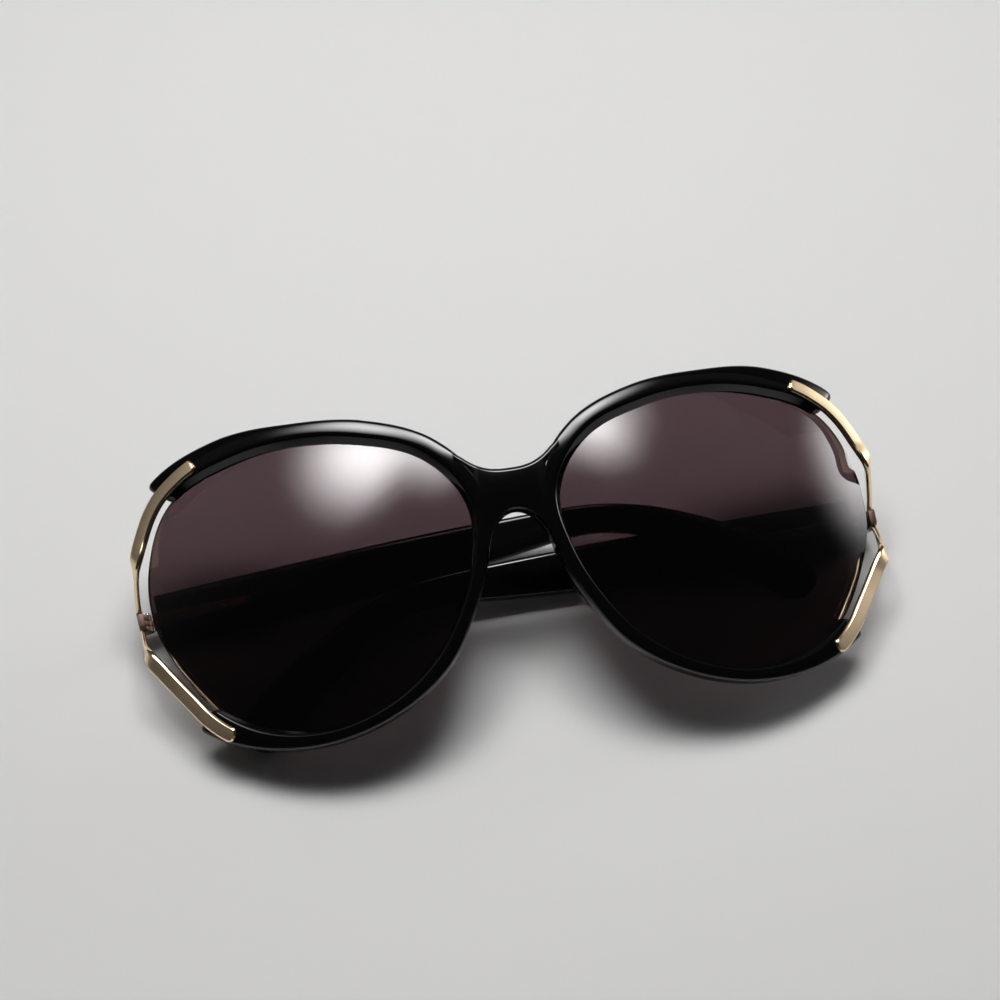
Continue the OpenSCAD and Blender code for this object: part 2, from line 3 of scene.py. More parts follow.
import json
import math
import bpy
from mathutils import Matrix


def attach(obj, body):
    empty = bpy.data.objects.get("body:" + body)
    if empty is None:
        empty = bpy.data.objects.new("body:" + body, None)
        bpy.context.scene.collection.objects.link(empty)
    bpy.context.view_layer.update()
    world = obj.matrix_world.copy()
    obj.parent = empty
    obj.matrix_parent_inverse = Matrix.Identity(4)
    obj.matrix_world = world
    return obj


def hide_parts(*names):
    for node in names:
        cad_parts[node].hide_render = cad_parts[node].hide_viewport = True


bl_info = {
    "name": "Round Sunglasses",
    "version": (1, 0, 0),
    "blender": (4, 5, 0),
    "location": "3D View > Sidebar > Sunglasses",
    "description": "Builds the rims, lenses, bars, temples and small fittings of folded round sunglasses",
    "category": "Add Mesh",
}

from functools import partial

import bmesh
import bpy
import numpy as np
from mathutils import Matrix, Vector

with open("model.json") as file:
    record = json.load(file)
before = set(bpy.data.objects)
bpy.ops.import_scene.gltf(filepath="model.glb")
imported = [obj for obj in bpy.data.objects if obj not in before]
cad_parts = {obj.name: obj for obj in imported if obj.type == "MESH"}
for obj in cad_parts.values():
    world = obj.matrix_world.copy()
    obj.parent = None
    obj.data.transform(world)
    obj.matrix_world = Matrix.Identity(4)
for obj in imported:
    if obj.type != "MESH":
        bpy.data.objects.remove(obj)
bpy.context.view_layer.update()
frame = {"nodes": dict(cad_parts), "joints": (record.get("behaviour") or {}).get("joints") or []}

MM = 0.001
# Clearance too small to see
HAIR = 0.02 * MM
SIDES = ("left", "right")

# Shares read at sixteen even angles round a lens, from the outer side upwards
LENS_SHARES = (
    1.031, 1.096, 1.153, 1.068, 1.03, 1.037, 1.1, 1.085,
    0.985, 0.935, 0.957, 0.987, 1.025, 1.035, 0.991, 0.975,
)
RIM_SHARES = (
    0.909, 1.027, 1.033, 0.98, 0.68, 0.72, 0.64, 0.58,
    0.46, 0.38, 0.39, 0.35, 0.33, 0.44, 0.822, 0.955,
)
# How far the rim's inner wall reaches over the lens, and how far outside the lens edge its crest lies
INNER_SHARES = (
    0.11, 0.11, 0.145, 0.11, 0.164, 0.164, 0.2, 0.2,
    0.173, 0.182, 0.218, 0.2, 0.2, 0.336, 0.182, 0.11,
)
CREST_SHARES = (
    0.09, 0.09, 0.11, 0.11, 0.104, 0.09, 0.064, 0,
    -0.073, -0.082, -0.127, -0.09, -0.11, -0.14, -0.08, 0.055,
)
# Back of a rim from its side inwards: share of the width, share of the depth
BACK_SHARES = ((1, 0.54), (0.96, 0.76), (0.84, 0.93), (0.64, 1), (0.28, 1), (0.06, 0.93))
# Bars: angle round the lens, distance outside it as a share of the band, lift as a share of thickness
BAR_SHARES = {
    "upper": (
        (59.2, 0.41, 0), (53, 0.328, 0), (45, 0.259, 0),
        (38, 0.217, 0.15), (30, 0.173, 0.5), (22.5, 0.148, 1),
    ),
    "lower": (
        (302, 0.305, 0), (308, 0.311, 0), (315, 0.284, 0), (323, 0.236, 0),
        (331, 0.276, 0), (339, 0.363, 0.1), (346, 0.457, 0.3),
    ),
}
# The bridge's rings on one side as shares of the arch's half width: the arch, then the wing on the rim
ARCH_RING_SHARES = tuple(sorted([0.8789, *(k / 20 * 0.96 for k in range(21))]))
WING_RING_SHARES = tuple(1.02 + k / 12 * 0.47 for k in range(13))
ROD_MID_SHARES = ((0.35, 0.6), (0.75, 1))
# Temple stations: share of its length, drop, height, thickness and bow
TEMPLE_SHARES = (
    (0, 0, 1, 1, 0), (0.1, 0, 1.01, 1, 0), (0.23, 0, 0.98, 0.97, 0), (0.38, 0, 0.92, 0.93, 0.02),
    (0.54, 0, 0.75, 0.9, 0.09), (0.65, 0.01, 0.58, 0.84, 0.2), (0.72, 0.07, 0.55, 0.8, 0.33),
    (0.79, 0.215, 0.6, 0.8, 0.48), (0.86, 0.46, 0.78, 0.82, 0.64), (0.925, 0.73, 0.87, 0.82, 0.8),
    (0.963, 0.914, 0.86, 0.79, 0.91),
)
# Centres of a temple's corner rounds as shares of its height and thickness, and where each round starts
TEMPLE_CORNERS = ((0.36, -0.32, 0), (-0.36, -0.32, 90), (-0.36, 0.32, 180), (0.36, 0.32, 270))
TEMPLE_ROUNDS = (0.14, 0.18)
# How far a temple's front end is drawn in, and the turn and the steps of its round ear end
FRONT_END_SHARE, EAR_TURN, EAR_STEPS = 0.93, 88, 14
# Nose pad: outline in shares of thickness and depth, and its size from end to end
PAD_RING_SHARES = ((0, 0), (0.06, 0.55), (-0.12, 0.92), (-0.4, 1), (-0.72, 0.85), (-0.98, 0.4), (-1, 0))
PAD_END_SHARES = (0.35, 0.72, 0.92, 1, 1, 1, 0.92, 0.72, 0.35)
# Steps round a lens and from its middle to its edge
TURNS, ROUNDS = 240, 22
# Angles between which a rim's outer side is flush with the bridge, the blend at each end, and how flush
FLUSH_FROM, FLUSH_TO, FLUSH_BLEND, FLUSH_SHARE = 136, 186, 12, 0.9
# Height of a prong's end as a share of the rim's
PRONG_END_SHARE = 0.62
# Where a bar starts to turn edge on and to thin, counted in spans from its foot, and over how many spans
BAR_TURN, BAR_THIN = (3.6, 1.8), (3.2, 1.9)
# A short way along a path, in spans
NUDGE = 0.02
# Soft edges of a bar, room round a screw head and round a blade, and turns up the round lip of a slot
SOFT_EDGE, HEAD_ROOM, BLADE_ROOM = 0.06 * MM, 0.03 * MM, 0.05 * MM
LIP_TURNS = (0.4, 0.8, 1.2, 1.5)
# Small fasteners: sides, broken edge of a head, width and depth of a slot, head of a rivet
SIDES_ROUND, HEAD_EDGE, SLOT_SIZE, RIVET_HEAD = 40, 0.08 * MM, (0.22 * MM, 0.2 * MM), 0.1 * MM
# Where the rivets sit, as shares of the blade's length
RIVET_SHARES = (0.22, 0.68)
# The bridge's top edge: power of its rise, and where its wings settle, in shares of the arch's half width
RISE_POWER, SETTLE_FROM, SETTLE_SPAN = 2.75, 1.2, 0.3
# Height of the nose arch as a share of its half width
ARCH_FALL_SHARE = 1.9
# Polished finishes: colour, metallic, roughness, its spread, scale of the unevenness, waves in mm
POLISHED = {
    "black acetate": ("acetate", 0, 0.09, 0.06, 900, 0.01),
    "polished gold": ("gold", 1, 0.14, 0.08, 1500, 0.002),
    # The hinge bronze is painted shade: a dark colour that stands in for the shadow and the dark surroundings
    # that the hinge metal reflects
    "hinge bronze": ("hinge", 1, 0.42, 0.12, 1500, 0.001),
    "screw steel": ("steel", 1, 0.22, 0.1, 1500, 0.002),
    "ground lens edge": ("edge", 0, 0.35, 0.15, 1200, 0.004),
}
# Where the tint starts and ends, as shares of the lens height from its bottom
TINT_FROM, TINT_TO = 0.12, 0.95
# Lamps: name, place, width and height in metres, and the setting that holds the radiance
SOFTBOXES = (
    ("softbox_left", (-0.1, 0.2, 0.62), (0.6, 0.5), "key"),
    ("softbox_right", (0.11, 0.2, 0.61), (0.46, 0.5), "key"),
    ("panel_right", (0.78, 0.24, 0.15), (0.62, 0.7), "side"),
)
# What the lamps face, and between which heights of view the even light grows
LAMP_TARGET, WORLD_FROM, WORLD_TO = (0, 0, 0.03), -0.15, 0.35
# Half width of the floor, and the middle and radius of the sweep between floor and backdrop, in metres
FLOOR_HALF, SWEEP_Y, SWEEP_R = 6, 1.2, 0.8
# The camera in the front's own frame: the ways right, down and ahead, its place, and its lens and sensor
CAMERA_WAYS = np.array([
    [0.98489, -0.15979, 0.06673],
    [-0.13585, -0.95196, -0.27443],
    [0.10737, 0.26121, -0.95929],
])
CAMERA_PLACE = np.array([-49.256, -105.780, 416.549]) * MM
CAMERA_LENS, CAMERA_SENSOR = 86.4, 36


def length(name, value, description):
    """A length property whose default is given in millimetres."""
    return bpy.props.FloatProperty(
        name=name, description=description, default=value * MM, min=0, precision=5, unit="LENGTH"
    )


def angle(name, value, description):
    """An angle property whose default is given in degrees."""
    return bpy.props.FloatProperty(
        name=name, description=description, default=math.radians(value), unit="ROTATION"
    )


def share(name, value, description):
    """A property that is a share of something else."""
    return bpy.props.FloatProperty(name=name, description=description, default=value, min=0, subtype="FACTOR")


def colour(name, value, description):
    """A colour property."""
    return bpy.props.FloatVectorProperty(
        name=name, description=description, default=value, min=0, max=1, size=3, subtype="COLOR"
    )


def strength(name, value, description):
    """The radiance or strength of a light."""
    return bpy.props.FloatProperty(name=name, description=description, default=value, min=0)


class FrontSettings(bpy.types.PropertyGroup):
    lens_w: length("Lens width", 62, "Flat width that the lens outline is scaled to")
    lens_h: length("Lens height", 53.5, "Height that the lens outline is scaled to")
    lens_drop: length("Lens drop", 2, "Height of the hinge line above the lens centre")
    nose_gap: length("Nose gap", 16, "Flat gap between the two lens outlines")
    wrap_r: length("Wrap radius", 160, "Radius that the front is wrapped round")
    front_t: length("Front depth", 4.4, "Depth of the acetate front")
    rim_w: length("Rim band", 5.5, "Band of acetate outside the lens at the prongs")
    bridge_top: length("Bridge top", 13.8, "Top of the bridge over the hinge line")
    arch_top: length("Arch top", 5.9, "Top of the nose arch over the hinge line")
    arch_half_w: length("Arch half width", 6.6, "Half width of the nose arch")
    bridge_set_back: length("Bridge set back", 0.35, "How far the bridge face lies behind the rims")
    bridge_rise: share("Bridge rise", 0.207, "Rise of the bridge's top edge towards the rims")
    wing_h: length("Wing height", 2.6, "Height of the wings that fair the bridge into the rims")
    wing_settle: length("Wing settle", 0.5, "How far the wings settle onto the rims' outline")
    wing_front: length("Wing front", 0.05, "How far the wings lie behind the rims")
    crease: length("Crease", 5.8, "Half width of the hollow face of the bridge")
    bridge_round: length("Bridge rounding", 0.9, "Edge radius of the bridge")
    prong_upper: angle("Upper prong", 45, "Angle round the lens where the upper prong ends")
    prong_lower: angle("Lower prong", 315, "Angle round the lens where the lower prong ends")
    prong_round: length("Prong rounding", 1.1, "Length over which a prong's end is rounded")
    lip_round: length("Lip rounding", 0.5, "Rounding between the inner wall and the front of a rim")
    edge_round: length("Edge rounding", 0.75, "Rounding between the front and the side of a rim")
    edge_trim: length("Edge trim", 0.2, "How far the polished side of a rim lies inside its outline")
    facet: angle("Facet", 9.5, "Outward slope of a rim's front")
    facet_arc: angle("Facet arc", 5.5, "How much flatter it is at the crest, and steeper at the side")
    slot_round: length("Slot rounding", 0.24, "Rounding of the lips beside a bar")


class LensSettings(bpy.types.PropertyGroup):
    lens_t: length("Thickness", 1.9, "Thickness of a lens")
    bulge: length("Bulge", 3, "How far the middle of a lens stands in front of its edge")
    inset: length("Inset", 0.6, "How deep the lens edge sits in the groove")
    depth: length("Depth", 2.6, "Depth of the lens edge behind the crown of the rims")
    groove_clear: length("Groove clearance", 0.08, "Free space round the lens edge")
    mouth: length("Groove mouth", 1.14, "Half the height of the groove's mouth")
    bevel: length("Edge bevel", 0.4, "Width of the bevel round the lens edge")


class BarSettings(bpy.types.PropertyGroup):
    width: length("Width", 2.8, "Width of a bar")
    thickness: length("Thickness", 1.3, "Thickness of a bar")
    proud: length("Proud", 0.45, "How far a bar stands in front of the acetate")
    chamfer: length("Chamfer", 0.32, "Width of the polished chamfer")
    roll: angle("Roll", 9, "How far a bar's face rolls outwards with the rim that it lies in")
    tip_r: length("Tip radius", 1.1, "Corner radius of the blunt tip")
    rod_w: length("Rod width", 1.3, "Width of the rod at the hinge")
    rod_t: length("Rod thickness", 0.95, "Thickness of the rod at the hinge")
    slot_gap: length("Slot gap", 0.06, "Gap between a bar and the slot that it lies in")
    screw_r: length("Screw radius", 0.5, "Radius of the screws that hold the bars from behind")
    screw_head_r: length("Screw head radius", 0.75, "Radius of their heads")
    screw_head_h: length("Screw head height", 0.5, "Height of their heads")
    screw_sunk: length("Screw sunk", 0.15, "How far their heads lie below the back of the rim")


class HingeSettings(bpy.types.PropertyGroup):
    beside: length("Beside the lens", 1.65, "How far the hinge axis stands outside the lens edge")
    behind: length("Behind the lens", 10.9, "How far the hinge axis lies behind the lens edge")
    knuckle_r: length("Knuckle radius", 1.25, "Outer radius of the knuckles")
    block_t: length("Block thickness", 1.2, "Thickness of the hinge block")
    block_h: length("Block height", 3.23, "Height of the hinge block")
    rod_seat: length("Rod seat", 3.5, "How far in front of the axis a rod meets the block")
    tongue_t: length("Tongue thickness", 1.3, "Thickness of the tongue")
    tongue_h: length("Tongue height", 2.9, "Height of the tongue")
    tongue_free: length("Free tongue", 2.9, "Length of tongue between the axis and the temple")
    blade_l: length("Blade length", 17.5, "Length of the blade let into the temple")
    blade_t: length("Blade thickness", 0.9, "Thickness of the blade")
    blade_proud: length("Blade proud", 0.1, "How far the blade stands out of the temple")
    blade_tip_share: share("Blade tip", 0.52, "Height of the blade's tip as a share of its root")
    rivet_r: length("Rivet radius", 0.45, "Radius of the rivets")
    rivet_depth: length("Rivet depth", 1.8, "Length of the rivets")
    edge_round: length("Edge rounding", 0.05, "Polished edge of the small metal parts")


class TempleSettings(bpy.types.PropertyGroup):
    short: length("Stops short", 14.9, "How far a folded temple stops short of the other hinge axis")
    height: length("Height", 9.8, "Height at the front end")
    thickness: length("Thickness", 3.8, "Thickness at the front end")
    ear_drop: length("Ear drop", 24.5, "Drop of the ear end below the hinge line")
    ear_bow: length("Ear bow", 9.5, "How far the ear end bows towards the head")
    front_round: length("Front rounding", 0.4, "Rounding of the front end")
    lean_left: angle("Left lean", 5.9, "Upward lean of the left temple when folded")
    lean_right: angle("Right lean", -1, "Upward lean of the right temple when folded")
    back_left: angle("Left tip back", 0.3, "Angle of the left temple away from the lenses when folded")
    back_right: angle("Right tip back", -0.2, "Angle of the right temple away from the lenses when folded")


class PadSettings(bpy.types.PropertyGroup):
    length: length("Length", 14, "Length of a nose pad")
    depth: length("Depth", 6, "How far a nose pad stands back from the rim")
    thickness: length("Thickness", 3.2, "Thickness of a nose pad at its root")
    place: angle("Place", 196, "Angle round the lens of the middle of the pad")
    edge: length("Edge", 0.3, "How far the pad stays inside the rim's outline")
    gap: length("Gap", 0.02, "Glue gap behind the rim")
    lean_share: share("Lean", 0.3, "Sideways lean as a share of the depth")


class PoseSettings(bpy.types.PropertyGroup):
    tilt: angle("Tilt", 22.18, "Angle by which the resting front leans towards the viewer")
    roll: angle("Roll", -0.09, "Angle by which the resting front leans to one side")


class FinishSettings(bpy.types.PropertyGroup):
    acetate: colour("Acetate", (0.0016, 0.0015, 0.0017), "Black of the acetate")
    gold: colour("Gold", (0.93, 0.72, 0.47), "Pale gold of the bars and hinges")
    steel: colour("Steel", (0.6, 0.6, 0.61), "Steel of screws and wires")
    edge: colour("Lens edge", (0.02, 0.009, 0.007), "Dark brown of the ground lens edge")
    # Painted shade: the hinge metal is darkened to stand in for the shadow and the dark surroundings that it
    # reflects
    hinge: colour("Hinge", (0.2, 0.13, 0.1), "Dark bronze of the tongues and hinge blocks")
    tint_top: colour("Tint at the top", (0.105, 0.065, 0.072), "Lens tint at its top edge")
    tint_bottom: colour("Tint at the bottom", (0.05, 0.03, 0.033), "Lens tint at its bottom edge")


class StageSettings(bpy.types.PropertyGroup):
    floor: colour("Floor", (0.75, 0.745, 0.74), "Colour of the floor and backdrop")
    key: strength("Key", 17, "Radiance in the middle of the two softboxes overhead")
    side: strength("Side", 8, "Radiance of the panel at the right")
    bright: strength("Bright", 0.1, "Strength of the even light from behind the glasses")
    dark: strength("Dark", 0.02, "Strength of the even light from the viewer's side")


GROUPS = {
    "glasses_front": FrontSettings,
    "glasses_lens": LensSettings,
    "glasses_bar": BarSettings,
    "glasses_hinge": HingeSettings,
    "glasses_temple": TempleSettings,
    "glasses_pad": PadSettings,
    "glasses_pose": PoseSettings,
    "glasses_finish": FinishSettings,
    "glasses_stage": StageSettings,
}


def settings(name):
    return getattr(bpy.context.scene, "glasses_" + name)


def lerp(a, b, t):
    return a + (b - a) * t


def ease(t):
    s = min(max(t, 0), 1)
    return s * s * (3 - 2 * s)


def unit(v):
    return v / np.linalg.norm(v)


def spline(a, b, c, d, t):
    return (2 * b + (c - a) * t + (2 * a - 5 * b + 4 * c - d) * t * t + (3 * b - a - 3 * c + d) * t ** 3) / 2


def curve(points, t):
    """Point at t, counted in spans, on the smooth curve through the points."""
    n = len(points) - 1
    i = min(int(t), n - 1)
    return spline(points[max(i - 1, 0)], points[i], points[i + 1], points[min(i + 2, n)], t - i)


def around(table, turn):
    """The same for a table of shares that closes on itself; turn is an angle in degrees."""
    n = len(table)
    t = (turn % 360) / (360 / n)
    i = int(t)
    return spline(table[(i - 1) % n], table[i % n], table[(i + 1) % n], table[(i + 2) % n], t - i)


def smooth(points, steps, closed=False):
    """The points with steps more between each two, on a smooth curve."""
    p = [np.asarray(q, float) for q in points]
    if closed:
        n = len(p)
        return [
            spline(p[i - 1], p[i], p[(i + 1) % n], p[(i + 2) % n], k / steps)
            for i in range(n)
            for k in range(steps)
        ]
    return [curve(p, i / steps) for i in range((len(p) - 1) * steps + 1)]


def soften(points, size, steps=3):
    """A closed outline with each corner rounded over a small length."""
    p = [np.asarray(q, float) for q in points]
    out = []
    for i, corner in enumerate(p):
        before, after = p[i - 1] - corner, p[(i + 1) % len(p)] - corner
        a = corner + before * min(0.45, size / max(np.linalg.norm(before), 1e-9))
        b = corner + after * min(0.45, size / max(np.linalg.norm(after), 1e-9))
        for k in range(steps + 1):
            t = k / steps
            out.append(a * (1 - t) ** 2 + corner * 2 * t * (1 - t) + b * t * t)
    return out


def lens_spoke(a):
    """The even outline that the lens shares scale, at an angle round the lens."""
    f = settings("front")
    return np.array([f.lens_w / 2 * math.cos(math.radians(a)), f.lens_h / 2 * math.sin(math.radians(a))])


def lens_centre():
    f = settings("front")
    return np.array([(f.nose_gap + f.lens_w) / 2, -f.lens_drop])


def lens_edge(a):
    return lens_spoke(a) * around(LENS_SHARES, a)


def band(a):
    return settings("front").rim_w * around(RIM_SHARES, a)


def wrap(flat):
    """Flat front to wrapped front, for rows of x, y, z."""
    r = settings("front").wrap_r
    p = np.atleast_2d(flat)
    a = p[:, 0] / r
    return np.stack([(r + p[:, 2]) * np.sin(a), p[:, 1], (r + p[:, 2]) * np.cos(a) - r], 1)


def by_lens(a, section):
    """Points at angle a round the lens, given as rows of distance outside its edge and height."""
    s = np.atleast_2d(section)
    p = lens_centre() + lens_edge(a) + np.outer(s[:, 0], unit(lens_spoke(a)))
    return wrap(np.column_stack([p, s[:, 1]]))


def hinge_place():
    f, h = settings("front"), settings("hinge")
    edge = wrap([[f.nose_gap / 2 + f.lens_w, 0, 0]])[0]
    return np.array([edge[0] + h.beside, 0, edge[2] - h.behind])


def lean(side):
    t = settings("temple")
    return t.lean_left if side == "left" else t.lean_right


def from_hinge(points, side):
    """Hinge frame to front frame of one side, drawn as the right one."""
    a = lean(side)
    p = np.atleast_2d(points)
    c, s = math.cos(a), math.sin(a)
    return np.stack([p[:, 0] * c + p[:, 1] * s, p[:, 1] * c - p[:, 0] * s, p[:, 2]], 1) + hinge_place()


def from_temple(points, side):
    """Temple frame to front frame: the temple points inwards when folded."""
    t = settings("temple")
    a = t.back_left if side == "left" else t.back_right
    p = np.atleast_2d(points)
    c, s = math.cos(a), math.sin(a)
    return from_hinge(np.stack([p[:, 0] * c - p[:, 2] * s, p[:, 1], p[:, 2] * c + p[:, 0] * s], 1), side)


def resting():
    """The turn and the shift from the front's own frame to the row frame, fixed by a hinge's place."""
    pose = settings("pose")
    turn = np.array(Matrix.Rotation(pose.roll, 3, "Y") @ Matrix.Rotation(pose.tilt, 3, "X"))
    joint = next(j for j in frame["joints"] if j["name"] == "temple_fold_right")
    return turn, np.array(joint["pos_m"]) - turn @ hinge_place()


def placed(points, side="right"):
    """Front frame to row frame; the left side is the mirror image."""
    p = np.atleast_2d(points) * (-1 if side == "left" else 1, 1, 1)
    turn, shift = resting()
    return p @ turn.T + shift


def linked(name, data):
    """A new object in the scene."""
    obj = bpy.data.objects.new(name, data)
    bpy.context.scene.collection.objects.link(obj)
    return obj


def mesh_of(name, points, faces, materials=(), slots=None, uvs=None):
    """A mesh with its materials and, where they are given, their slots and a grain map."""
    mesh = bpy.data.meshes.new(name)
    mesh.from_pydata([tuple(p) for p in points], [], faces)
    for material in materials:
        mesh.materials.append(material)
    if slots is not None:
        mesh.polygons.foreach_set("material_index", slots)
    if uvs is not None:
        layer = mesh.uv_layers.new(name="grain")
        for loop in mesh.loops:
            layer.data[loop.index].uv = uvs[loop.vertex_index]
    return mesh


def piece(name, points, faces, materials, **more):
    """A mesh object in the row frame with outward faces and smooth shading."""
    mesh = mesh_of(name, points, faces, materials, **more)
    finish_mesh(mesh)
    return linked(name, mesh)


def solid(name, rings, materials, side="right"):
    """A piece skinned through rings of the front frame."""
    points, faces = skin(rings)
    return piece(name, placed(points, side), faces, materials)


def carrier(name, points, faces, attribute, vectors):
    """An object whose points carry the vectors that a geometry tree reads."""
    mesh = mesh_of(name, points, faces)
    mesh.attributes.new(attribute, "FLOAT_VECTOR", "POINT").data.foreach_set("vector", np.ravel(vectors))
    return linked(name, mesh)


def shaded(mesh, sharp):
    """Smooth shading below the sharp angle."""
    mesh.polygons.foreach_set("use_smooth", [True] * len(mesh.polygons))
    mesh.set_sharp_from_angle(angle=math.radians(sharp))
    mesh.update()


def finish_mesh(mesh, sharp=38):
    """Outward faces, smooth below the sharp angle."""
    work = bmesh.new()
    work.from_mesh(mesh)
    bmesh.ops.recalc_face_normals(work, faces=work.faces)
    work.to_mesh(mesh)
    work.free()
    shaded(mesh, sharp)


def skin(rings, ends=True):
    """Vertices and faces of a solid through a row of closed rings."""
    n, m = len(rings[0]), len(rings)
    points = np.concatenate(rings)
    faces = [
        (j * n + i, j * n + (i + 1) % n, (j + 1) * n + (i + 1) % n, (j + 1) * n + i)
        for j in range(m - 1)
        for i in range(n)
    ]
    if ends:
        faces += [tuple(range(n))[::-1], tuple(range((m - 1) * n, m * n))]
    return points, faces


def modified(obj):
    """The object with its modifiers applied, as a plain mesh."""
    depsgraph = bpy.context.evaluated_depsgraph_get()
    mesh = bpy.data.meshes.new_from_object(obj.evaluated_get(depsgraph), depsgraph=depsgraph)
    old = obj.data
    obj.modifiers.clear()
    obj.data = mesh
    mesh.name = obj.name
    bpy.data.meshes.remove(old)
    return obj


def joined(target, others, operation):
    """Boolean of one object with others, which are then removed."""
    for other in others:
        step = target.modifiers.new(other.name, "BOOLEAN")
        step.operation = operation
        step.solver = "EXACT"
        step.object = other
    modified(target)
    for other in others:
        bpy.data.objects.remove(other)
    return target


def bevelled(obj, width, sharp=35, segments=2):
    """The object with its sharp edges rounded."""
    step = obj.modifiers.new("edge", "BEVEL")
    step.width = width
    step.segments = segments
    step.limit_method = "ANGLE"
    step.angle_limit = math.radians(sharp)
    step.use_clamp_overlap = True
    return modified(obj)


def cad_copy(node, name, material):
    """A merged copy of a CAD node, in the row frame, with its flat faces made whole again."""
    mesh = frame["nodes"][node].data.copy()
    mesh.name = name
    work = bmesh.new()
    work.from_mesh(mesh)
    bmesh.ops.remove_doubles(work, verts=work.verts, dist=0.002 * MM)
    bmesh.ops.dissolve_limit(work, angle_limit=math.radians(1), verts=work.verts, edges=work.edges)
    work.to_mesh(mesh)
    work.free()
    mesh.materials.clear()
    mesh.materials.append(material)
    return linked(name, mesh)


def feed(tree, node, inputs):
    """Links a node's inputs to sockets, or sets them to values."""
    for key, value in inputs.items():
        if isinstance(value, bpy.types.NodeSocket):
            tree.links.new(value, node.inputs[key])
        else:
            node.inputs[key].default_value = value


def node_of(tree, kind, inputs=None, **values):
    """A new node with its settings and its inputs."""
    made = tree.nodes.new(kind)
    for key, value in values.items():
        setattr(made, key, value)
    feed(tree, made, inputs or {})
    return made


def math_node(tree, operation, *values):
    """What a math node makes of sockets and numbers."""
    return node_of(tree, "ShaderNodeMath", dict(enumerate(values)), operation=operation).outputs[0]


def gloss_group(name, inputs):
    """A shader group with the named float inputs that puts out a roughness and a height."""
    kind = "NodeSocketFloat"
    group = bpy.data.node_groups.new(name, "ShaderNodeTree")
    for socket, default in inputs.items():
        group.interface.new_socket(name=socket, in_out="INPUT", socket_type=kind).default_value = default
    for socket in ("Roughness", "Height"):
        group.interface.new_socket(name=socket, in_out="OUTPUT", socket_type=kind)
    return group, group.nodes.new("NodeGroupInput"), group.nodes.new("NodeGroupOutput")


def close_gloss(group, into, out, spread_by, height_by):
    """The group's roughness, spread by one noise about its middle, and its height from another."""
    centred = math_node(group, "SUBTRACT", spread_by.outputs["Fac"], 0.5)
    rough = math_node(group, "MULTIPLY_ADD", centred, into.outputs["Spread"], into.outputs["Roughness"])
    feed(group, out, {"Roughness": rough, "Height": height_by.outputs["Fac"]})


def polish_group():
    """Hand polish: a little unevenness in the gloss, and very shallow waves for the bump."""
    name = "hand polish"
    if name in bpy.data.node_groups:
        return bpy.data.node_groups[name]
    group, into, out = gloss_group(name, {"Roughness": 0.1, "Spread": 0.05, "Scale": 300})
    place = node_of(group, "ShaderNodeTexCoord").outputs["Object"]
    fine, wide = (
        node_of(group, "ShaderNodeTexNoise", {"Vector": place, "Scale": scale, "Detail": detail})
        for scale, detail in ((into.outputs["Scale"], 4), (45, 1))
    )
    close_gloss(group, into, out, fine, wide)
    return group


def brush_group():
    """Fine lines that run along a bar, read from its own grain map."""
    name = "brushed lines"
    if name in bpy.data.node_groups:
        return bpy.data.node_groups[name]
    group, into, out = gloss_group(name, {"Roughness": 0.3, "Spread": 0.15})
    place = node_of(group, "ShaderNodeUVMap", uv_map="grain").outputs["UV"]
    stretch = {"Vector": place, "Scale": (250, 9000, 1)}
    grain = node_of(group, "ShaderNodeMapping", stretch).outputs["Vector"]
    lines = node_of(group, "ShaderNodeTexNoise", {"Vector": grain, "Scale": 1, "Detail": 3})
    close_gloss(group, into, out, lines, lines)
    return group


def new_material(name):
    """A new material and its node tree."""
    made = bpy.data.materials.new(name)
    made.use_nodes = True
    return made, made.node_tree


def material_of(name, colour, effect_group, values, metallic=0, ior=1.5, bump=0):
    """A Principled material whose roughness and bump come from one of the groups."""
    if name in bpy.data.materials:
        return bpy.data.materials[name]
    made, tree = new_material(name)
    effect = node_of(tree, "ShaderNodeGroup", values, node_tree=effect_group).outputs
    looks = {"Base Color": (*colour, 1), "Metallic": metallic, "IOR": ior, "Roughness": effect["Roughness"]}
    if bump:
        ridge = {"Strength": 1, "Distance": bump, "Height": effect["Height"]}
        looks["Normal"] = node_of(tree, "ShaderNodeBump", ridge).outputs["Normal"]
    feed(tree, tree.nodes["Principled BSDF"], looks)
    return made


def polished(name):
    """One of the polished finishes, by its name."""
    colour, metallic, roughness, spread, scale, waves = POLISHED[name]
    values = {"Roughness": roughness, "Spread": spread, "Scale": scale}
    return material_of(
        name, getattr(settings("finish"), colour), polish_group(), values, metallic=metallic, bump=waves * MM
    )


def gold_brushed():
    """The brushed gold of the bars' faces."""
    return material_of(
        "brushed gold", settings("finish").gold, brush_group(), {"Roughness": 0.4, "Spread": 0.2},
        metallic=1, bump=0.004 * MM,
    )


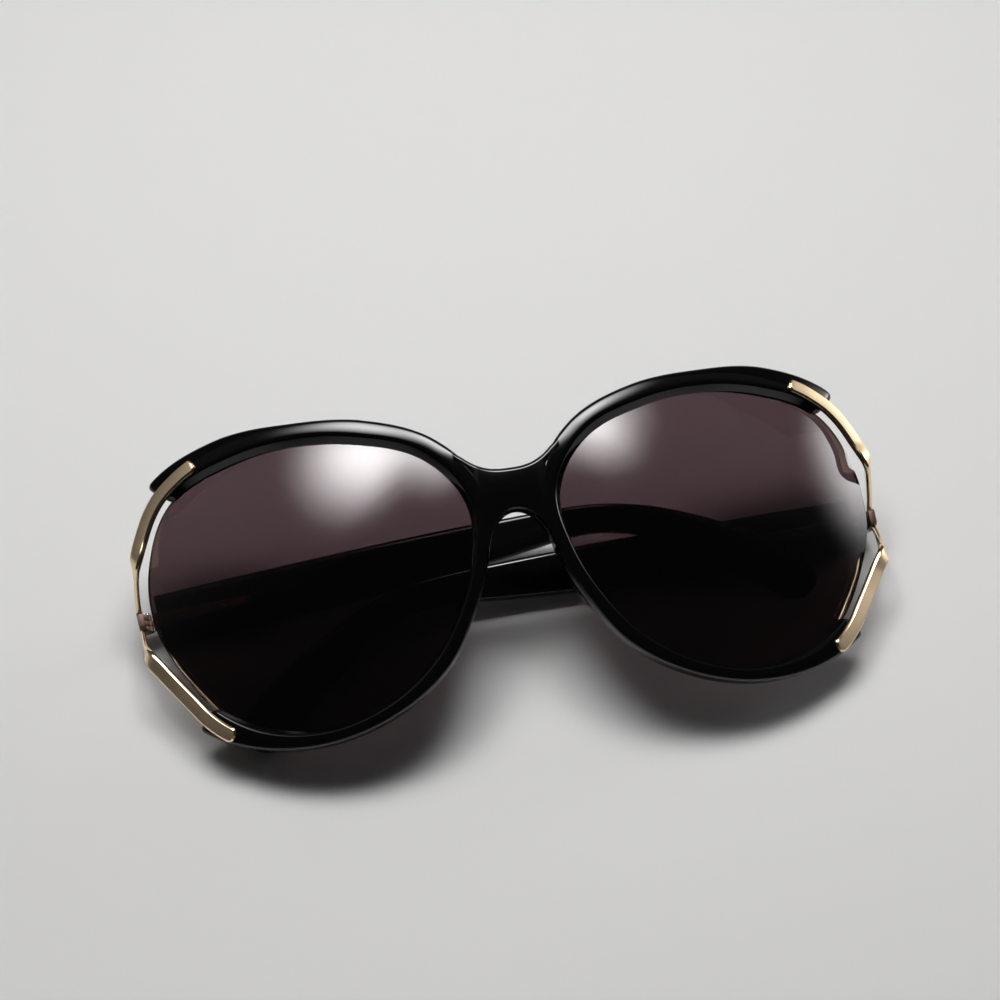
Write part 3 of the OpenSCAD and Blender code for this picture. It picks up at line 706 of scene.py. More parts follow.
def tinted():
    """Tinted lens: clear, with a colour that darkens from its top to its bottom."""
    name = "gradient tint"
    if name in bpy.data.materials:
        return bpy.data.materials[name]
    finish, f = settings("finish"), settings("front")
    made, tree = new_material(name)
    turn, shift = resting()
    up = turn[:, 1]
    top = float(up @ shift) + f.lens_h / 2 - f.lens_drop
    place = node_of(tree, "ShaderNodeTexCoord").outputs["Object"]
    height = node_of(tree, "ShaderNodeVectorMath", {0: place, 1: tuple(up)}, operation="DOT_PRODUCT")
    run = node_of(tree, "ShaderNodeMapRange", {
        "Value": height.outputs["Value"], "From Min": top - f.lens_h, "From Max": top,
    })
    ramp = node_of(tree, "ShaderNodeValToRGB", {"Fac": run.outputs["Result"]})
    ramp.color_ramp.interpolation = "EASE"
    ends = ((TINT_FROM, finish.tint_bottom), (TINT_TO, finish.tint_top))
    for stop, (at, tint) in zip(ramp.color_ramp.elements, ends):
        stop.position, stop.color = at, (*tint, 1)
    gloss = {"Roughness": 0.015, "Spread": 0.01, "Scale": 400}
    effect = node_of(tree, "ShaderNodeGroup", gloss, node_tree=polish_group())
    feed(tree, tree.nodes["Principled BSDF"], {
        "Transmission Weight": 1, "IOR": 1.6,
        "Base Color": ramp.outputs["Color"], "Roughness": effect.outputs["Roughness"],
    })
    return made


def dressed(obj, body, slot, *nodes):
    """The finished piece rides its body and stands for its CAD nodes."""
    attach(obj, body)
    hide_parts(*nodes)
    return obj


def flush(a):
    """How far the outer side of a rim is flush, which it is where the bridge joins it."""
    return ease((a - FLUSH_FROM) / FLUSH_BLEND) * ease((FLUSH_TO - a) / FLUSH_BLEND)


def rounded(before, corner, after, steps=8):
    """Points of a round from one point to another, drawn towards their corner."""
    turn = [k / steps for k in range(steps + 1)]
    return [before * (1 - t) ** 2 + corner * 2 * t * (1 - t) + after * t * t for t in turn]


def rim_section(a):
    """Rim section at an angle round the lens, as distance outside the lens edge and height."""
    f, g = settings("front"), settings("lens")
    wide = band(a) - f.edge_trim
    inner, crest = f.rim_w * around(INNER_SHARES, a), f.rim_w * around(CREST_SHARES, a)
    flat = 1 - FLUSH_SHARE * flush(a)
    near, far = math.tan(f.facet - f.facet_arc) * flat, math.tan(f.facet + f.facet_arc) * flat
    half = (wide - crest - f.lip_round - f.edge_round) / 2
    lip = np.array([crest, 0])
    end = lip + np.array([1, -near]) * f.lip_round
    middle = end + np.array([1, -near]) * half
    shoulder = middle + np.array([1, -far]) * half
    edge = shoulder + np.array([1, -far]) * f.edge_round
    over = 1 - inner / np.linalg.norm(lens_edge(a))
    level = g.lens_t / 2 + g.bulge * (1 - over * over) + g.groove_clear
    wall = np.array([-inner, level - g.depth])
    reach = min(f.lip_round, 0.8 * np.linalg.norm(wall - lip))
    start = lip + unit(wall - lip) * reach
    front = [wall, lerp(wall, start, 0.5), *rounded(start, lip, end), *rounded(end, middle, shoulder)[1:]]
    front += rounded(shoulder, edge, edge - [0, f.edge_round])[1:]
    back = smooth([(s * (wide + g.inset) - g.inset, -z * f.front_t) for s, z in BACK_SHARES], 4)
    groove = [(g.groove_clear, -g.depth), (0, g.mouth * 0.8 - g.depth), (-g.bevel, g.mouth - g.depth)]
    return [np.array(q) for q in [*groove, *front, *back, (-g.inset, -g.mouth - g.depth)]]


def rim_ring(a, k):
    f = settings("front")
    c = np.array([band(a) / 2, -f.front_t / 2])
    return by_lens(a, [lerp(c, p, k) for p in rim_section(a)])


def rim_rings(step=0.9, end_steps=8):
    f = settings("front")
    upper, lower = math.degrees(f.prong_upper), math.degrees(f.prong_lower)
    turn = math.degrees(f.prong_round / (f.lens_h / 2))
    end = []
    for i in range(end_steps + 1):
        e = 1 - math.cos(i / end_steps * math.pi / 2)
        end.append((e, lerp(PRONG_END_SHARE, 1, math.sqrt(1 - (1 - e) ** 2))))
    count = round((lower - upper - 2 * turn) / step)
    return (
        [rim_ring(upper + turn * e, k) for e, k in end]
        + [rim_ring(lerp(upper + turn, lower - turn, i / count), 1) for i in range(1, count)]
        + [rim_ring(lower - turn * e, k) for e, k in reversed(end)]
    )


def bar_path(which, side):
    """Points that a bar runs through, drawn as on the right side."""
    f, b, h = settings("front"), settings("bar"), settings("hinge")
    up = 1 if which == "upper" else -1
    z = b.proud - b.thickness / 2
    rim = [by_lens(a, [[out * f.rim_w, z + lift * b.thickness]])[0] for a, out, lift in BAR_SHARES[which]]
    foot = from_hinge([[h.knuckle_r - h.block_t / 2, up * h.block_h / 2, h.rod_seat]], side)[0]
    kink = rim[-1]
    mid = []
    for t, u in ROD_MID_SHARES:
        q = lerp(kink, foot, t)
        mid.append(np.array([lerp(kink[0], foot[0], u), q[1], q[2]]))
    return rim + mid + [foot]


def foot_way(which, side):
    a = lean(side)
    way = np.array([math.sin(a), math.cos(a), 0])
    return -way if which == "upper" else way


def bar_turn(path, t):
    """How far a bar has turned from face on to edge on."""
    return ease((t - len(path) + 1 + BAR_TURN[0]) / BAR_TURN[1])


def bar_frame(path, t, end_way=None, rolled=True):
    """Place on a bar, the way across its face and the way that the face looks, rolled with the rim."""
    n, e = len(path) - 1, NUDGE
    p = curve(path, t)
    d = end_way if t >= n else unit(curve(path, min(t + e, n)) - curve(path, max(t - e, 0)))
    a = lerp(p[0] / settings("front").wrap_r, math.pi / 2, bar_turn(path, t))
    facing = np.array([math.sin(a), 0, math.cos(a)])
    if rolled:
        roll = settings("bar").roll * (1 - bar_turn(path, t))
        facing = facing * math.cos(roll) + unit(np.append(p[:2] - lens_centre(), 0)) * math.sin(roll)
    s = unit(np.cross(d, facing))
    return p, s, np.cross(s, d)


def bar_half(run, inset=0):
    """Half width of a bar's outline at a distance from its blunt tip, the outline moved in by inset."""
    b = settings("bar")
    r = b.tip_r - inset
    e = min(max(run - inset, 0), r)
    return b.width / 2 - b.tip_r + math.sqrt(r * r - (r - e) ** 2)


def bar_stations(path, last, steps=12):
    tip = settings("bar").tip_r / np.linalg.norm(path[1] - path[0])
    end = [tip * (1 - math.cos(i / 8 * math.pi / 2)) for i in range(9)]
    return end + [i / steps for i in range(1, last * steps + 1) if i / steps > tip + NUDGE]


def bar_rings(path, end_way):
    """Rings of a bar, and for each point how far along and across the bar it lies."""
    b = settings("bar")
    rings, grain = [], []
    for t in bar_stations(path, len(path) - 1):
        k = bar_turn(path, t)
        run = np.linalg.norm(curve(path, t) - path[0])
        z = lerp(b.thickness, b.rod_t, k) / 2
        side = lerp(b.width, b.rod_w, ease((t - len(path) + 1 + BAR_THIN[0]) / BAR_THIN[1])) / 2
        c = min(b.chamfer, side / 2)
        level = min(c, run)
        side, top = min(side, bar_half(run)), min(side - c, bar_half(run, level))
        low, high = z - c, z - c + level
        corners = [
            (top, high), (side, low), (side, -low), (top, -high),
            (-top, -high), (-side, -low), (-side, low), (-top, high),
        ]
        p, s, u = bar_frame(path, t, end_way)
        section = soften(corners, SOFT_EDGE, 2)
        rings.append(np.array([p + s * q[0] + u * q[1] for q in section]))
        grain += [(run, q[0]) for q in section]
    return rings, grain


def slot_rings(path):
    """The slot that a bar lies in, with the round lips of the acetate beside it."""
    f, b = settings("front"), settings("bar")
    r, top = f.slot_round, b.thickness / 2 - b.proud
    levels = [(b.slot_gap, -b.thickness / 2 - HAIR), (b.slot_gap, top - r)]
    levels += [
        (b.slot_gap + r * (1 - math.cos(a)), top - r + r * math.sin(a)) for a in LIP_TURNS
    ]
    levels += [(b.slot_gap + r * 1.1, b.thickness)]
    widest = levels[-1][0]
    rings = []
    first = [-widest * math.cos(i / 6 * math.pi / 2) for i in range(6)]
    runs = [(0, e) for e in first] + [(t, None) for t in bar_stations(path, 3)]
    for t, e in runs:
        p, s, u = bar_frame(path, t)
        run = np.linalg.norm(p - path[0]) if e is None else e
        p = p - np.cross(u, s) * (e or 0)
        side = []
        for gap, z in levels:
            reach = max(gap, -run)
            if reach > gap:
                z = np.interp(reach, [g for g, _ in levels[1:]], [h for _, h in levels[1:]])
            side.append((bar_half(run, -reach), z))
        section = side + [(-y, z) for y, z in reversed(side)]
        rings.append(np.array([p + s * q[0] + u * q[1] for q in section]))
    return rings


def pocket_rings(path, sides=48):
    """The pocket behind a rim that a bar's screw head lies in."""
    f, b = settings("front"), settings("bar")
    p, s, u = bar_frame(path, 1, rolled=False)
    back = f.front_t + b.proud - b.thickness / 2
    r = b.screw_head_r + HEAD_ROOM
    d = np.cross(s, u)
    turns = np.linspace(0, 2 * math.pi, sides, endpoint=False)
    circle = [s * r * math.cos(a) + d * r * math.sin(a) for a in turns]
    depths = (back - b.screw_sunk - b.screw_head_h, back + b.proud)
    return [np.array([p - u * z + q for q in circle]) for z in depths]


def wing_high(x):
    """Height of the top edge of the bridge and its wings."""
    f = settings("front")
    settled = ease((x / f.arch_half_w - SETTLE_FROM) / SETTLE_SPAN)
    rise = f.bridge_rise * (2 * x / f.nose_gap) ** RISE_POWER
    return f.bridge_top * (1 + rise) - f.wing_settle * settled


def bridge_front(x):
    """Height of the bridge's face, which is hollow between its two creases."""
    f = settings("front")
    return -f.wing_front - f.bridge_set_back * max(0, 1 - (x / f.crease) ** 2)


def hollow_rings():
    """What the bridge's hollow face takes away from the shoulders of the rims."""
    f = settings("front")
    rings = []
    for x in np.linspace(-f.crease, f.crease, 31):
        z = bridge_front(abs(x)) - HAIR
        low, high = -f.lens_drop - 2 * MM, f.bridge_top * 2
        rings.append(wrap([(x, low, z), (x, high, z), (x, high, MM), (x, low, MM)]))
    return rings


def bridge_ring(side, x, wing, arc=7):
    """Section of the bridge, or of the wing that fairs it into a rim, with round front edges."""
    f = settings("front")
    hi = wing_high(x)
    fall = f.arch_half_w * ARCH_FALL_SHARE * (1 - math.sqrt(max(0, 1 - (x / f.arch_half_w) ** 2)))
    lo = hi - f.wing_h if wing else f.arch_top - fall
    front = bridge_front(x)
    back, r = HAIR - f.front_t, f.bridge_round
    turns = [k / arc * math.pi / 2 for k in range(arc + 1)]
    outline = [(hi - r + r * math.sin(t), front - r + r * math.cos(t)) for t in turns]
    outline += [(hi, back + r), (hi - r, back), (lo + r, back), (lo, back + r)]
    outline += [(lo + r - r * math.cos(t), front - r + r * math.sin(t)) for t in turns]
    return wrap([(side * x, y, z) for y, z in outline])


def bridge_rings():
    """Rings from the right wing over the arch to the left wing; both halves share the middle one."""
    half = settings("front").arch_half_w
    rows = [(k * half, True) for k in reversed(WING_RING_SHARES)]
    rows += [(k * half, False) for k in reversed(ARCH_RING_SHARES)]
    return [bridge_ring(1, *row) for row in rows] + [bridge_ring(-1, *row) for row in rows[-2::-1]]


def screw_place(path):
    """Place of a bar's screw and the way that its head faces."""
    p, s, u = bar_frame(path, 1, rolled=False)
    return p, -u


class GLASSES_OT_front(bpy.types.Operator):
    """Acetate front: two rims, the recessed bridge and the slots that the bars lie in"""

    bl_idname = "glasses.front"
    bl_label = "Front"

    def execute(self, context):
        black = [polished("black acetate")]
        parts = []
        for side in SIDES:
            rim = solid("rim_" + side, rim_rings(), black, side)
            cutters = []
            for which in BAR_SHARES:
                path = bar_path(which, side)
                cutters.append(solid(f"slot_{which}_{side}", slot_rings(path), black, side))
                cutters.append(solid(f"pocket_{which}_{side}", pocket_rings(path), black, side))
            cutters.append(solid("hollow_" + side, hollow_rings(), black))
            parts.append(joined(rim, cutters, "DIFFERENCE"))
        bridge = solid("bridge", bridge_rings(), black)
        whole = joined(parts[0], [parts[1], bridge], "UNION")
        whole.name = "front_acetate"
        finish_mesh(whole.data, 32)
        dressed(whole, "front", "black_acetate", "front_frame")
        return {"FINISHED"}


def flat_lens():
    """Flat rings of a lens, with share of the way out, level in the thickness and share of the bulge."""
    g = settings("lens")
    turns = np.arange(TURNS) * 360 / TURNS
    n = len(turns)
    shares = [math.sin(k / ROUNDS * math.pi / 2) for k in range(1, ROUNDS)] + [1]
    rings, rule = [], []
    for level in (1, -1):
        face = []
        for k in shares:
            spokes = [lens_edge(a) for a in turns]
            face.append([lens_centre() + e * k * (1 - g.bevel / np.linalg.norm(e)) for e in spokes])
        order = list(zip(face, shares)) if level > 0 else list(zip(face, shares))[::-1]
        rings += [ring for ring, _ in order]
        rule += [(k, level, 1) for _, k in order]
        if level > 0:
            for out, z in ((-0.06 * MM, 0.12), (0, 0), (-0.06 * MM, -0.12)):
                rings.append([lens_centre() + lens_edge(a) + unit(lens_spoke(a)) * out for a in turns])
                rule.append((1, z, 0))
    points = [(*q, 0) for ring in rings for q in ring] + [(*lens_centre(), 0)] * 2
    rules = [k for k in rule for _ in range(n)] + [(0, 1, 1), (0, -1, 1)]
    _, faces = skin([np.zeros((n, 3))] * len(rings), ends=False)
    top, last = len(points) - 2, (len(rings) - 1) * n
    faces += [(top, (i + 1) % n, i) for i in range(n)]
    faces += [(top + 1, last + i, last + (i + 1) % n) for i in range(n)]
    return points, faces, rules


def geometry_tree(name, inputs):
    tree = bpy.data.node_groups.new(name, "GeometryNodeTree")
    tree.interface.new_socket(name="Geometry", in_out="INPUT", socket_type="NodeSocketGeometry")
    for socket in inputs:
        kind = "NodeSocketMaterial" if socket == "Material" else "NodeSocketFloat"
        tree.interface.new_socket(name=socket, in_out="INPUT", socket_type=kind)
    tree.interface.new_socket(name="Geometry", in_out="OUTPUT", socket_type="NodeSocketGeometry")
    return tree, tree.nodes.new("NodeGroupInput"), tree.nodes.new("NodeGroupOutput")


def close_tree(tree, into, out, geometry):
    """Every tree ends in Realize Instances and Set Material."""
    real = node_of(tree, "GeometryNodeRealizeInstances", {"Geometry": geometry}).outputs["Geometry"]
    paint = {"Geometry": real, "Material": into.outputs["Material"]}
    feed(tree, out, {"Geometry": node_of(tree, "GeometryNodeSetMaterial", paint).outputs["Geometry"]})


def named_vector(tree, name):
    """The vector that each point of a carrier holds."""
    kind = "GeometryNodeInputNamedAttribute"
    return node_of(tree, kind, {"Name": name}, data_type="FLOAT_VECTOR").outputs["Attribute"]


def grown(obj, tree, values):
    """The plain mesh that a tree makes of an object."""
    step = obj.modifiers.new(tree.name, "NODES")
    step.node_group = tree
    for item in tree.interface.items_tree:
        if item.in_out == "INPUT" and item.name in values:
            step[item.identifier] = values[item.name]
    return modified(obj)


def bulge_tree():
    """Bulges flat lens rings, gives them their thickness and wraps them round an upright cylinder."""
    names = ("Thickness", "Bulge", "Depth", "Wrap Radius", "Material")
    tree, into, out = geometry_tree("bulge and wrap", names)
    size, calc = into.outputs, partial(math_node, tree)
    rule = node_of(tree, "ShaderNodeSeparateXYZ", {"Vector": named_vector(tree, "rule")})
    place = node_of(tree, "GeometryNodeInputPosition").outputs["Position"]
    where = node_of(tree, "ShaderNodeSeparateXYZ", {"Vector": place}).outputs
    share_out, level, counts = rule.outputs
    dome = calc("SUBTRACT", 1, calc("MULTIPLY", share_out, share_out))
    raised = calc("MULTIPLY", calc("MULTIPLY", dome, counts), size["Bulge"])
    half = calc("MULTIPLY", calc("MULTIPLY", level, size["Thickness"]), 0.5)
    z = calc("SUBTRACT", calc("ADD", raised, half), size["Depth"])
    radius = size["Wrap Radius"]
    turn, far = calc("DIVIDE", where["X"], radius), calc("ADD", radius, z)
    bent = node_of(tree, "ShaderNodeCombineXYZ", {
        "X": calc("MULTIPLY", far, calc("SINE", turn)),
        "Y": where["Y"],
        "Z": calc("SUBTRACT", calc("MULTIPLY", far, calc("COSINE", turn)), radius),
    })
    moved = {"Geometry": size["Geometry"], "Position": bent.outputs["Vector"]}
    close_tree(tree, into, out, node_of(tree, "GeometryNodeSetPosition", moved).outputs["Geometry"])
    return tree


class GLASSES_OT_lenses(bpy.types.Operator):
    """Both tinted lenses, bulged and wrapped from flat rings by a geometry tree"""

    bl_idname = "glasses.lenses"
    bl_label = "Lenses"

    def execute(self, context):
        f, g = settings("front"), settings("lens")
        tree = bulge_tree()
        points, faces, rules = flat_lens()
        turn, shift = resting()
        for side in SIDES:
            lens = carrier("tinted_lens_" + side, points, faces, "rule", rules)
            grown(lens, tree, {
                "Thickness": g.lens_t, "Bulge": g.bulge, "Depth": g.depth,
                "Wrap Radius": f.wrap_r, "Material": tinted(),
            })
            mirror = Matrix.Diagonal((-1 if side == "left" else 1, 1, 1, 1))
            lens.data.transform(Matrix.Translation(shift) @ Matrix(turn.tolist()).to_4x4() @ mirror)
            lens.data.attributes.remove(lens.data.attributes["rule"])
            lens.data.materials.append(polished("ground lens edge"))
            edge = [i // TURNS in range(ROUNDS - 1, ROUNDS + 3) for i in range(len(faces))]
            lens.data.polygons.foreach_set("material_index", np.array(edge, int))
            finish_mesh(lens.data)
            dressed(lens, "front", "tinted_lens", "lens_" + side)
        return {"FINISHED"}


class GLASSES_OT_pads(bpy.types.Operator):
    """Both nose pads"""

    bl_idname = "glasses.pads"
    bl_label = "Nose pads"

    def execute(self, context):
        f, p = settings("front"), settings("pad")
        turn = math.degrees(p.length / (f.lens_h / 2))
        outline = smooth(PAD_RING_SHARES, 4)
        ends = smooth([[k] for k in PAD_END_SHARES], 4)
        for side in SIDES:
            rings = []
            for i, (k,) in enumerate(ends):
                a = math.degrees(p.place) + turn * (i / (len(ends) - 1) - 0.5)
                edge = band(a) - p.edge
                section = []
                for across, down in outline:
                    out, drop = lerp(-0.5, across, k) * p.thickness, down * p.depth * k
                    section.append((edge + out - p.lean_share * drop, -f.front_t - p.gap - drop))
                rings.append(by_lens(a, section))
            pad = solid("pad_" + side, rings, [polished("black acetate")], side)
            dressed(pad, "front", "pad_acetate", "nose_pad_" + side)
        return {"FINISHED"}


class GLASSES_OT_bars(bpy.types.Operator):
    """The four gold bars, brushed on their faces and polished on their chamfers"""

    bl_idname = "glasses.bars"
    bl_label = "Bars"

    def execute(self, context):
        for side in SIDES:
            for which in BAR_SHARES:
                path = bar_path(which, side)
                rings, grain = bar_rings(path, foot_way(which, side))
                n = len(rings[0])
                points, faces = skin(rings)
                slots = [0 if i % n == n - 1 and i < len(faces) - 2 else 1 for i in range(len(faces))]
                bar = piece(
                    f"bar_{which}_{side}_gold", placed(points, side), faces,
                    [gold_brushed(), polished("polished gold")], slots=slots, uvs=grain,
                )
                dressed(bar, "front", "gold_metal", f"bar_{which}_{side}")
        return {"FINISHED"}


def temple_at(t):
    """Place on the middle of a temple's inner face, and its shares there."""
    h, s = settings("hinge"), settings("temple")
    whole = 2 * hinge_place()[0] - s.short
    q = curve(np.array(TEMPLE_SHARES, float), t)
    inner = h.tongue_t / 2 - h.blade_proud
    x = -h.tongue_free - q[0] * (whole - h.tongue_free)
    return np.array([x, -q[1] * s.ear_drop, inner + q[4] * s.ear_bow]), q


def temple_ring(t, k, ahead, arc=6):
    s = settings("temple")
    n, e = len(TEMPLE_SHARES) - 1, NUDGE
    p, q = temple_at(t)
    d = temple_at(min(t + e, n))[0] - temple_at(max(t - e, 0))[0]
    d = np.array([d[0], d[1], 0]) / math.hypot(d[0], d[1])
    side = np.array([d[1], -d[0], 0])
    high, wide = q[2] * s.height, q[3] * s.thickness
    ring = []
    for cx, cy, start in TEMPLE_CORNERS:
        for i in range(arc + 1):
            a = math.radians(start + 90 * i / arc)
            ring.append((cx + TEMPLE_ROUNDS[0] * math.cos(a), cy - TEMPLE_ROUNDS[1] * math.sin(a)))
    up = np.array([0, 0, 1])
    return np.array([
        p + d * ahead + side * c[0] * high * k + up * (c[1] * lerp(1, k, 0.3) - 0.5) * wide
        for c in ring
    ])


def temple_rings(steps=10):
    s = settings("temple")
    n = len(TEMPLE_SHARES) - 1
    ear_h = TEMPLE_SHARES[n][2] * s.height
    front = []
    for i in range(6):
        e = 1 - math.cos(i / 5 * math.pi / 2)
        k = lerp(FRONT_END_SHARE, 1, math.sqrt(1 - (1 - e) ** 2))
        front.append(temple_ring(0, k, e * s.front_round))
    turns = [math.radians(EAR_TURN * i / EAR_STEPS) for i in range(1, EAR_STEPS + 1)]
    ear = [temple_ring(n, math.cos(a), math.sin(a) * ear_h / 2) for a in turns]
    return front + [temple_ring(i / steps, 1, 0) for i in range(1, n * steps + 1)] + ear


def blade_prism(gap, depth_from, depth_to):
    """Rings of a prism over the blade's tapered outline, in the temple's frame."""
    h = settings("hinge")
    x0, x1 = -h.tongue_free, -h.tongue_free - h.blade_l
    high, low = h.tongue_h / 2, h.tongue_h * h.blade_tip_share / 2
    outline = [
        (x0 + gap * 30, high + gap), (x0, high + gap), (x1 - gap, low + gap),
        (x1 - gap, -low - gap), (x0, -high - gap), (x0 + gap * 30, -high - gap),
    ]
    return [np.array([(x, y, z) for x, y in outline]) for z in (depth_from, depth_to)]


class GLASSES_OT_temples(bpy.types.Operator):
    """Both acetate temples, with the pocket for the hinge blade"""

    bl_idname = "glasses.temples"
    bl_label = "Temples"

    def execute(self, context):
        h, black = settings("hinge"), [polished("black acetate")]
        room = blade_prism(BLADE_ROOM, h.tongue_t / 2 - h.blade_t - HAIR, h.tongue_t)
        for side in SIDES:
            temple, pocket = (
                solid(name, [from_temple(ring, side) for ring in rings], black, side)
                for name, rings in ((f"temple_{side}_acetate", temple_rings()), ("pocket_" + side, room))
            )
            joined(temple, [pocket], "DIFFERENCE")
            finish_mesh(temple.data, 32)
            dressed(temple, f"temple_{side}_arm", "black_acetate", "temple_" + side)
        return {"FINISHED"}


class GLASSES_OT_hinges(bpy.types.Operator):
    """Hinge blocks, tongues and hinge screws with softened edges"""

    bl_idname = "glasses.hinges"
    bl_label = "Hinges"

    def execute(self, context):
        h = settings("hinge")
        for side in SIDES:
            for node, body, slot, finish in (
                # Blocks and tongues take the dark bronze, which is painted shade on their metal
                ("hinge_block_", "front", "gold_metal", polished("hinge bronze")),
                ("hinge_tongue_", f"temple_{side}_arm", "gold_metal", polished("hinge bronze")),
                ("hinge_screw_", "front", "steel", polished("screw steel")),
            ):
                part = bevelled(cad_copy(node + side, node + side + "_metal", finish), h.edge_round)
                shaded(part.data, 40)
                dressed(part, body, slot, node + side)
        return {"FINISHED"}


def placed_way(way, side):
    """A direction of the front frame in the row frame."""
    start, end = placed([np.zeros(3), way], side)
    return end - start


def lifted(tree, mesh, height):
    """A mesh moved up by a height."""
    up = node_of(tree, "ShaderNodeCombineXYZ", {"Z": height}).outputs["Vector"]
    return node_of(tree, "GeometryNodeTransform", {"Geometry": mesh, "Translation": up}).outputs["Geometry"]


def turned_cylinder(tree, radius, depth, low, tip=None):
    """A cylinder on the z axis from a height upwards; with a tip radius it narrows to it."""
    sizes = {"Vertices": SIDES_ROUND, "Depth": depth}
    if tip is None:
        made = node_of(tree, "GeometryNodeMeshCylinder", {**sizes, "Radius": radius})
        low = math_node(tree, "ADD", low, math_node(tree, "MULTIPLY", depth, 0.5))
    else:
        made = node_of(tree, "GeometryNodeMeshCone", {**sizes, "Radius Bottom": radius, "Radius Top": tip})
    return lifted(tree, made.outputs["Mesh"], low)


def fastener_tree(name, slotted):
    """Screws or rivets on points: a shank below the point, a head with a broken edge above it."""
    names = ("Head Radius", "Head Height", "Edge", "Shank Radius", "Shank Length")
    names += ("Slot Width", "Slot Depth", "Material")
    tree, into, out = geometry_tree(name, names)
    size, calc = into.outputs, partial(math_node, tree)
    body = calc("SUBTRACT", size["Head Height"], size["Edge"])
    crown = calc("SUBTRACT", size["Head Radius"], size["Edge"])
    below = calc("MULTIPLY", size["Shank Length"], -1)
    parts = node_of(tree, "GeometryNodeMeshBoolean", operation="UNION")
    for part in (
        turned_cylinder(tree, size["Shank Radius"], size["Shank Length"], below),
        turned_cylinder(tree, size["Head Radius"], body, 0),
        turned_cylinder(tree, size["Head Radius"], size["Edge"], body, crown),
    ):
        feed(tree, parts, {"Mesh 2": part})
    whole = parts.outputs["Mesh"]
    if slotted:
        room = node_of(tree, "ShaderNodeCombineXYZ", {
            "X": calc("MULTIPLY", size["Head Radius"], 4),
            "Y": size["Slot Width"],
            "Z": calc("MULTIPLY", size["Slot Depth"], 2),
        })
        cube = node_of(tree, "GeometryNodeMeshCube", {"Size": room.outputs["Vector"]})
        cut = {"Mesh 1": whole, "Mesh 2": lifted(tree, cube.outputs["Mesh"], size["Head Height"])}
        whole = node_of(tree, "GeometryNodeMeshBoolean", cut, operation="DIFFERENCE").outputs["Mesh"]
    facing = {"Vector": named_vector(tree, "facing")}
    align = node_of(tree, "FunctionNodeAlignRotationToVector", facing, axis="Z")
    spread = node_of(tree, "GeometryNodeInstanceOnPoints", {
        "Points": size["Geometry"], "Instance": whole, "Rotation": align.outputs["Rotation"],
    })
    close_tree(tree, into, out, spread.outputs["Instances"])
    return tree


def fasteners(name, places, tree, values):
    """Like fasteners at (place, facing) pairs of the row frame, as one mesh."""
    points, ways = zip(*places)
    obj = grown(carrier(name, points, [], "facing", ways), tree, values)
    finish_mesh(obj.data, 30)
    return obj


class GLASSES_OT_fittings(bpy.types.Operator):
    """Bar screws and tongue rivets from geometry trees; the core wires keep their solids"""

    bl_idname = "glasses.fittings"
    bl_label = "Small fittings"

    def execute(self, context):
        f, b, h = settings("front"), settings("bar"), settings("hinge")
        back = f.front_t + b.proud - b.thickness / 2
        places = []
        for side in SIDES:
            for which in BAR_SHARES:
                p, way = screw_place(bar_path(which, side))
                seat = p + way * (back - b.screw_sunk - b.screw_head_h)
                places.append((placed(seat, side)[0], placed_way(way, side)))
        screws = fasteners("bar_screws_steel", places, fastener_tree("slotted screws", True), {
            "Head Radius": b.screw_head_r, "Head Height": b.screw_head_h, "Edge": HEAD_EDGE,
            "Shank Radius": b.screw_r, "Shank Length": back - b.screw_sunk - b.screw_head_h - b.thickness / 4,
            "Slot Width": SLOT_SIZE[0], "Slot Depth": SLOT_SIZE[1], "Material": polished("screw steel"),
        })
        dressed(screws, "front", "steel", "bar_screws")
        tree = fastener_tree("tongue rivets", False)
        for side in SIDES:
            places = []
            for k in RIVET_SHARES:
                seat = np.array([-h.tongue_free - k * h.blade_l, 0, h.tongue_t / 2])
                foot, tip = from_temple([seat, seat + (0, 0, MM)], side)
                places.append((placed(foot, side)[0], placed_way((tip - foot) / MM, side)))
            rivets = fasteners(f"rivets_{side}_gold", places, tree, {
                "Head Radius": h.rivet_r, "Head Height": RIVET_HEAD, "Edge": HEAD_EDGE,
                "Shank Radius": h.rivet_r, "Shank Length": h.rivet_depth,
                "Material": polished("polished gold"),
            })
            dressed(rivets, f"temple_{side}_arm", "gold_metal", "tongue_rivets_" + side)
            wire = frame["nodes"]["core_wire_" + side]
            wire.data.materials.clear()
            wire.data.materials.append(polished("screw steel"))
        return {"FINISHED"}


def glow(name, radiance):
    """Emission that fades steeply from the middle of a card to its rim, where the card is clear."""
    made, tree = new_material(name)
    tree.nodes.remove(tree.nodes["Principled BSDF"])
    place = node_of(tree, "ShaderNodeUVMap", uv_map="grain").outputs["UV"]
    away = node_of(tree, "ShaderNodeVectorMath", {0: place}, operation="LENGTH").outputs["Value"]
    run = {"Value": away, "From Min": 1, "From Max": 0}
    fade = node_of(tree, "ShaderNodeMapRange", run, interpolation_type="SMOOTHSTEP").outputs["Result"]
    level = math_node(tree, "MULTIPLY", math_node(tree, "POWER", fade, 2), radiance)
    both = node_of(tree, "ShaderNodeAddShader", {
        0: node_of(tree, "ShaderNodeEmission", {"Strength": level}).outputs["Emission"],
        1: node_of(tree, "ShaderNodeBsdfTransparent").outputs["BSDF"],
    })
    feed(tree, tree.nodes["Material Output"], {"Surface": both.outputs["Shader"]})
    return made


def softbox(name, place, size, radiance):
    """A glowing card that faces the glasses."""
    place = Vector(place)
    turn = (Vector(LAMP_TARGET) - place).to_track_quat("Z", "Y").to_matrix()
    corners = ((-1, -1), (1, -1), (1, 1), (-1, 1))
    points = [place + turn @ Vector((x * size[0] / 2, y * size[1] / 2, 0)) for x, y in corners]
    return linked(name, mesh_of(name, points, [(0, 1, 2, 3)], [glow(name, radiance)], uvs=corners))


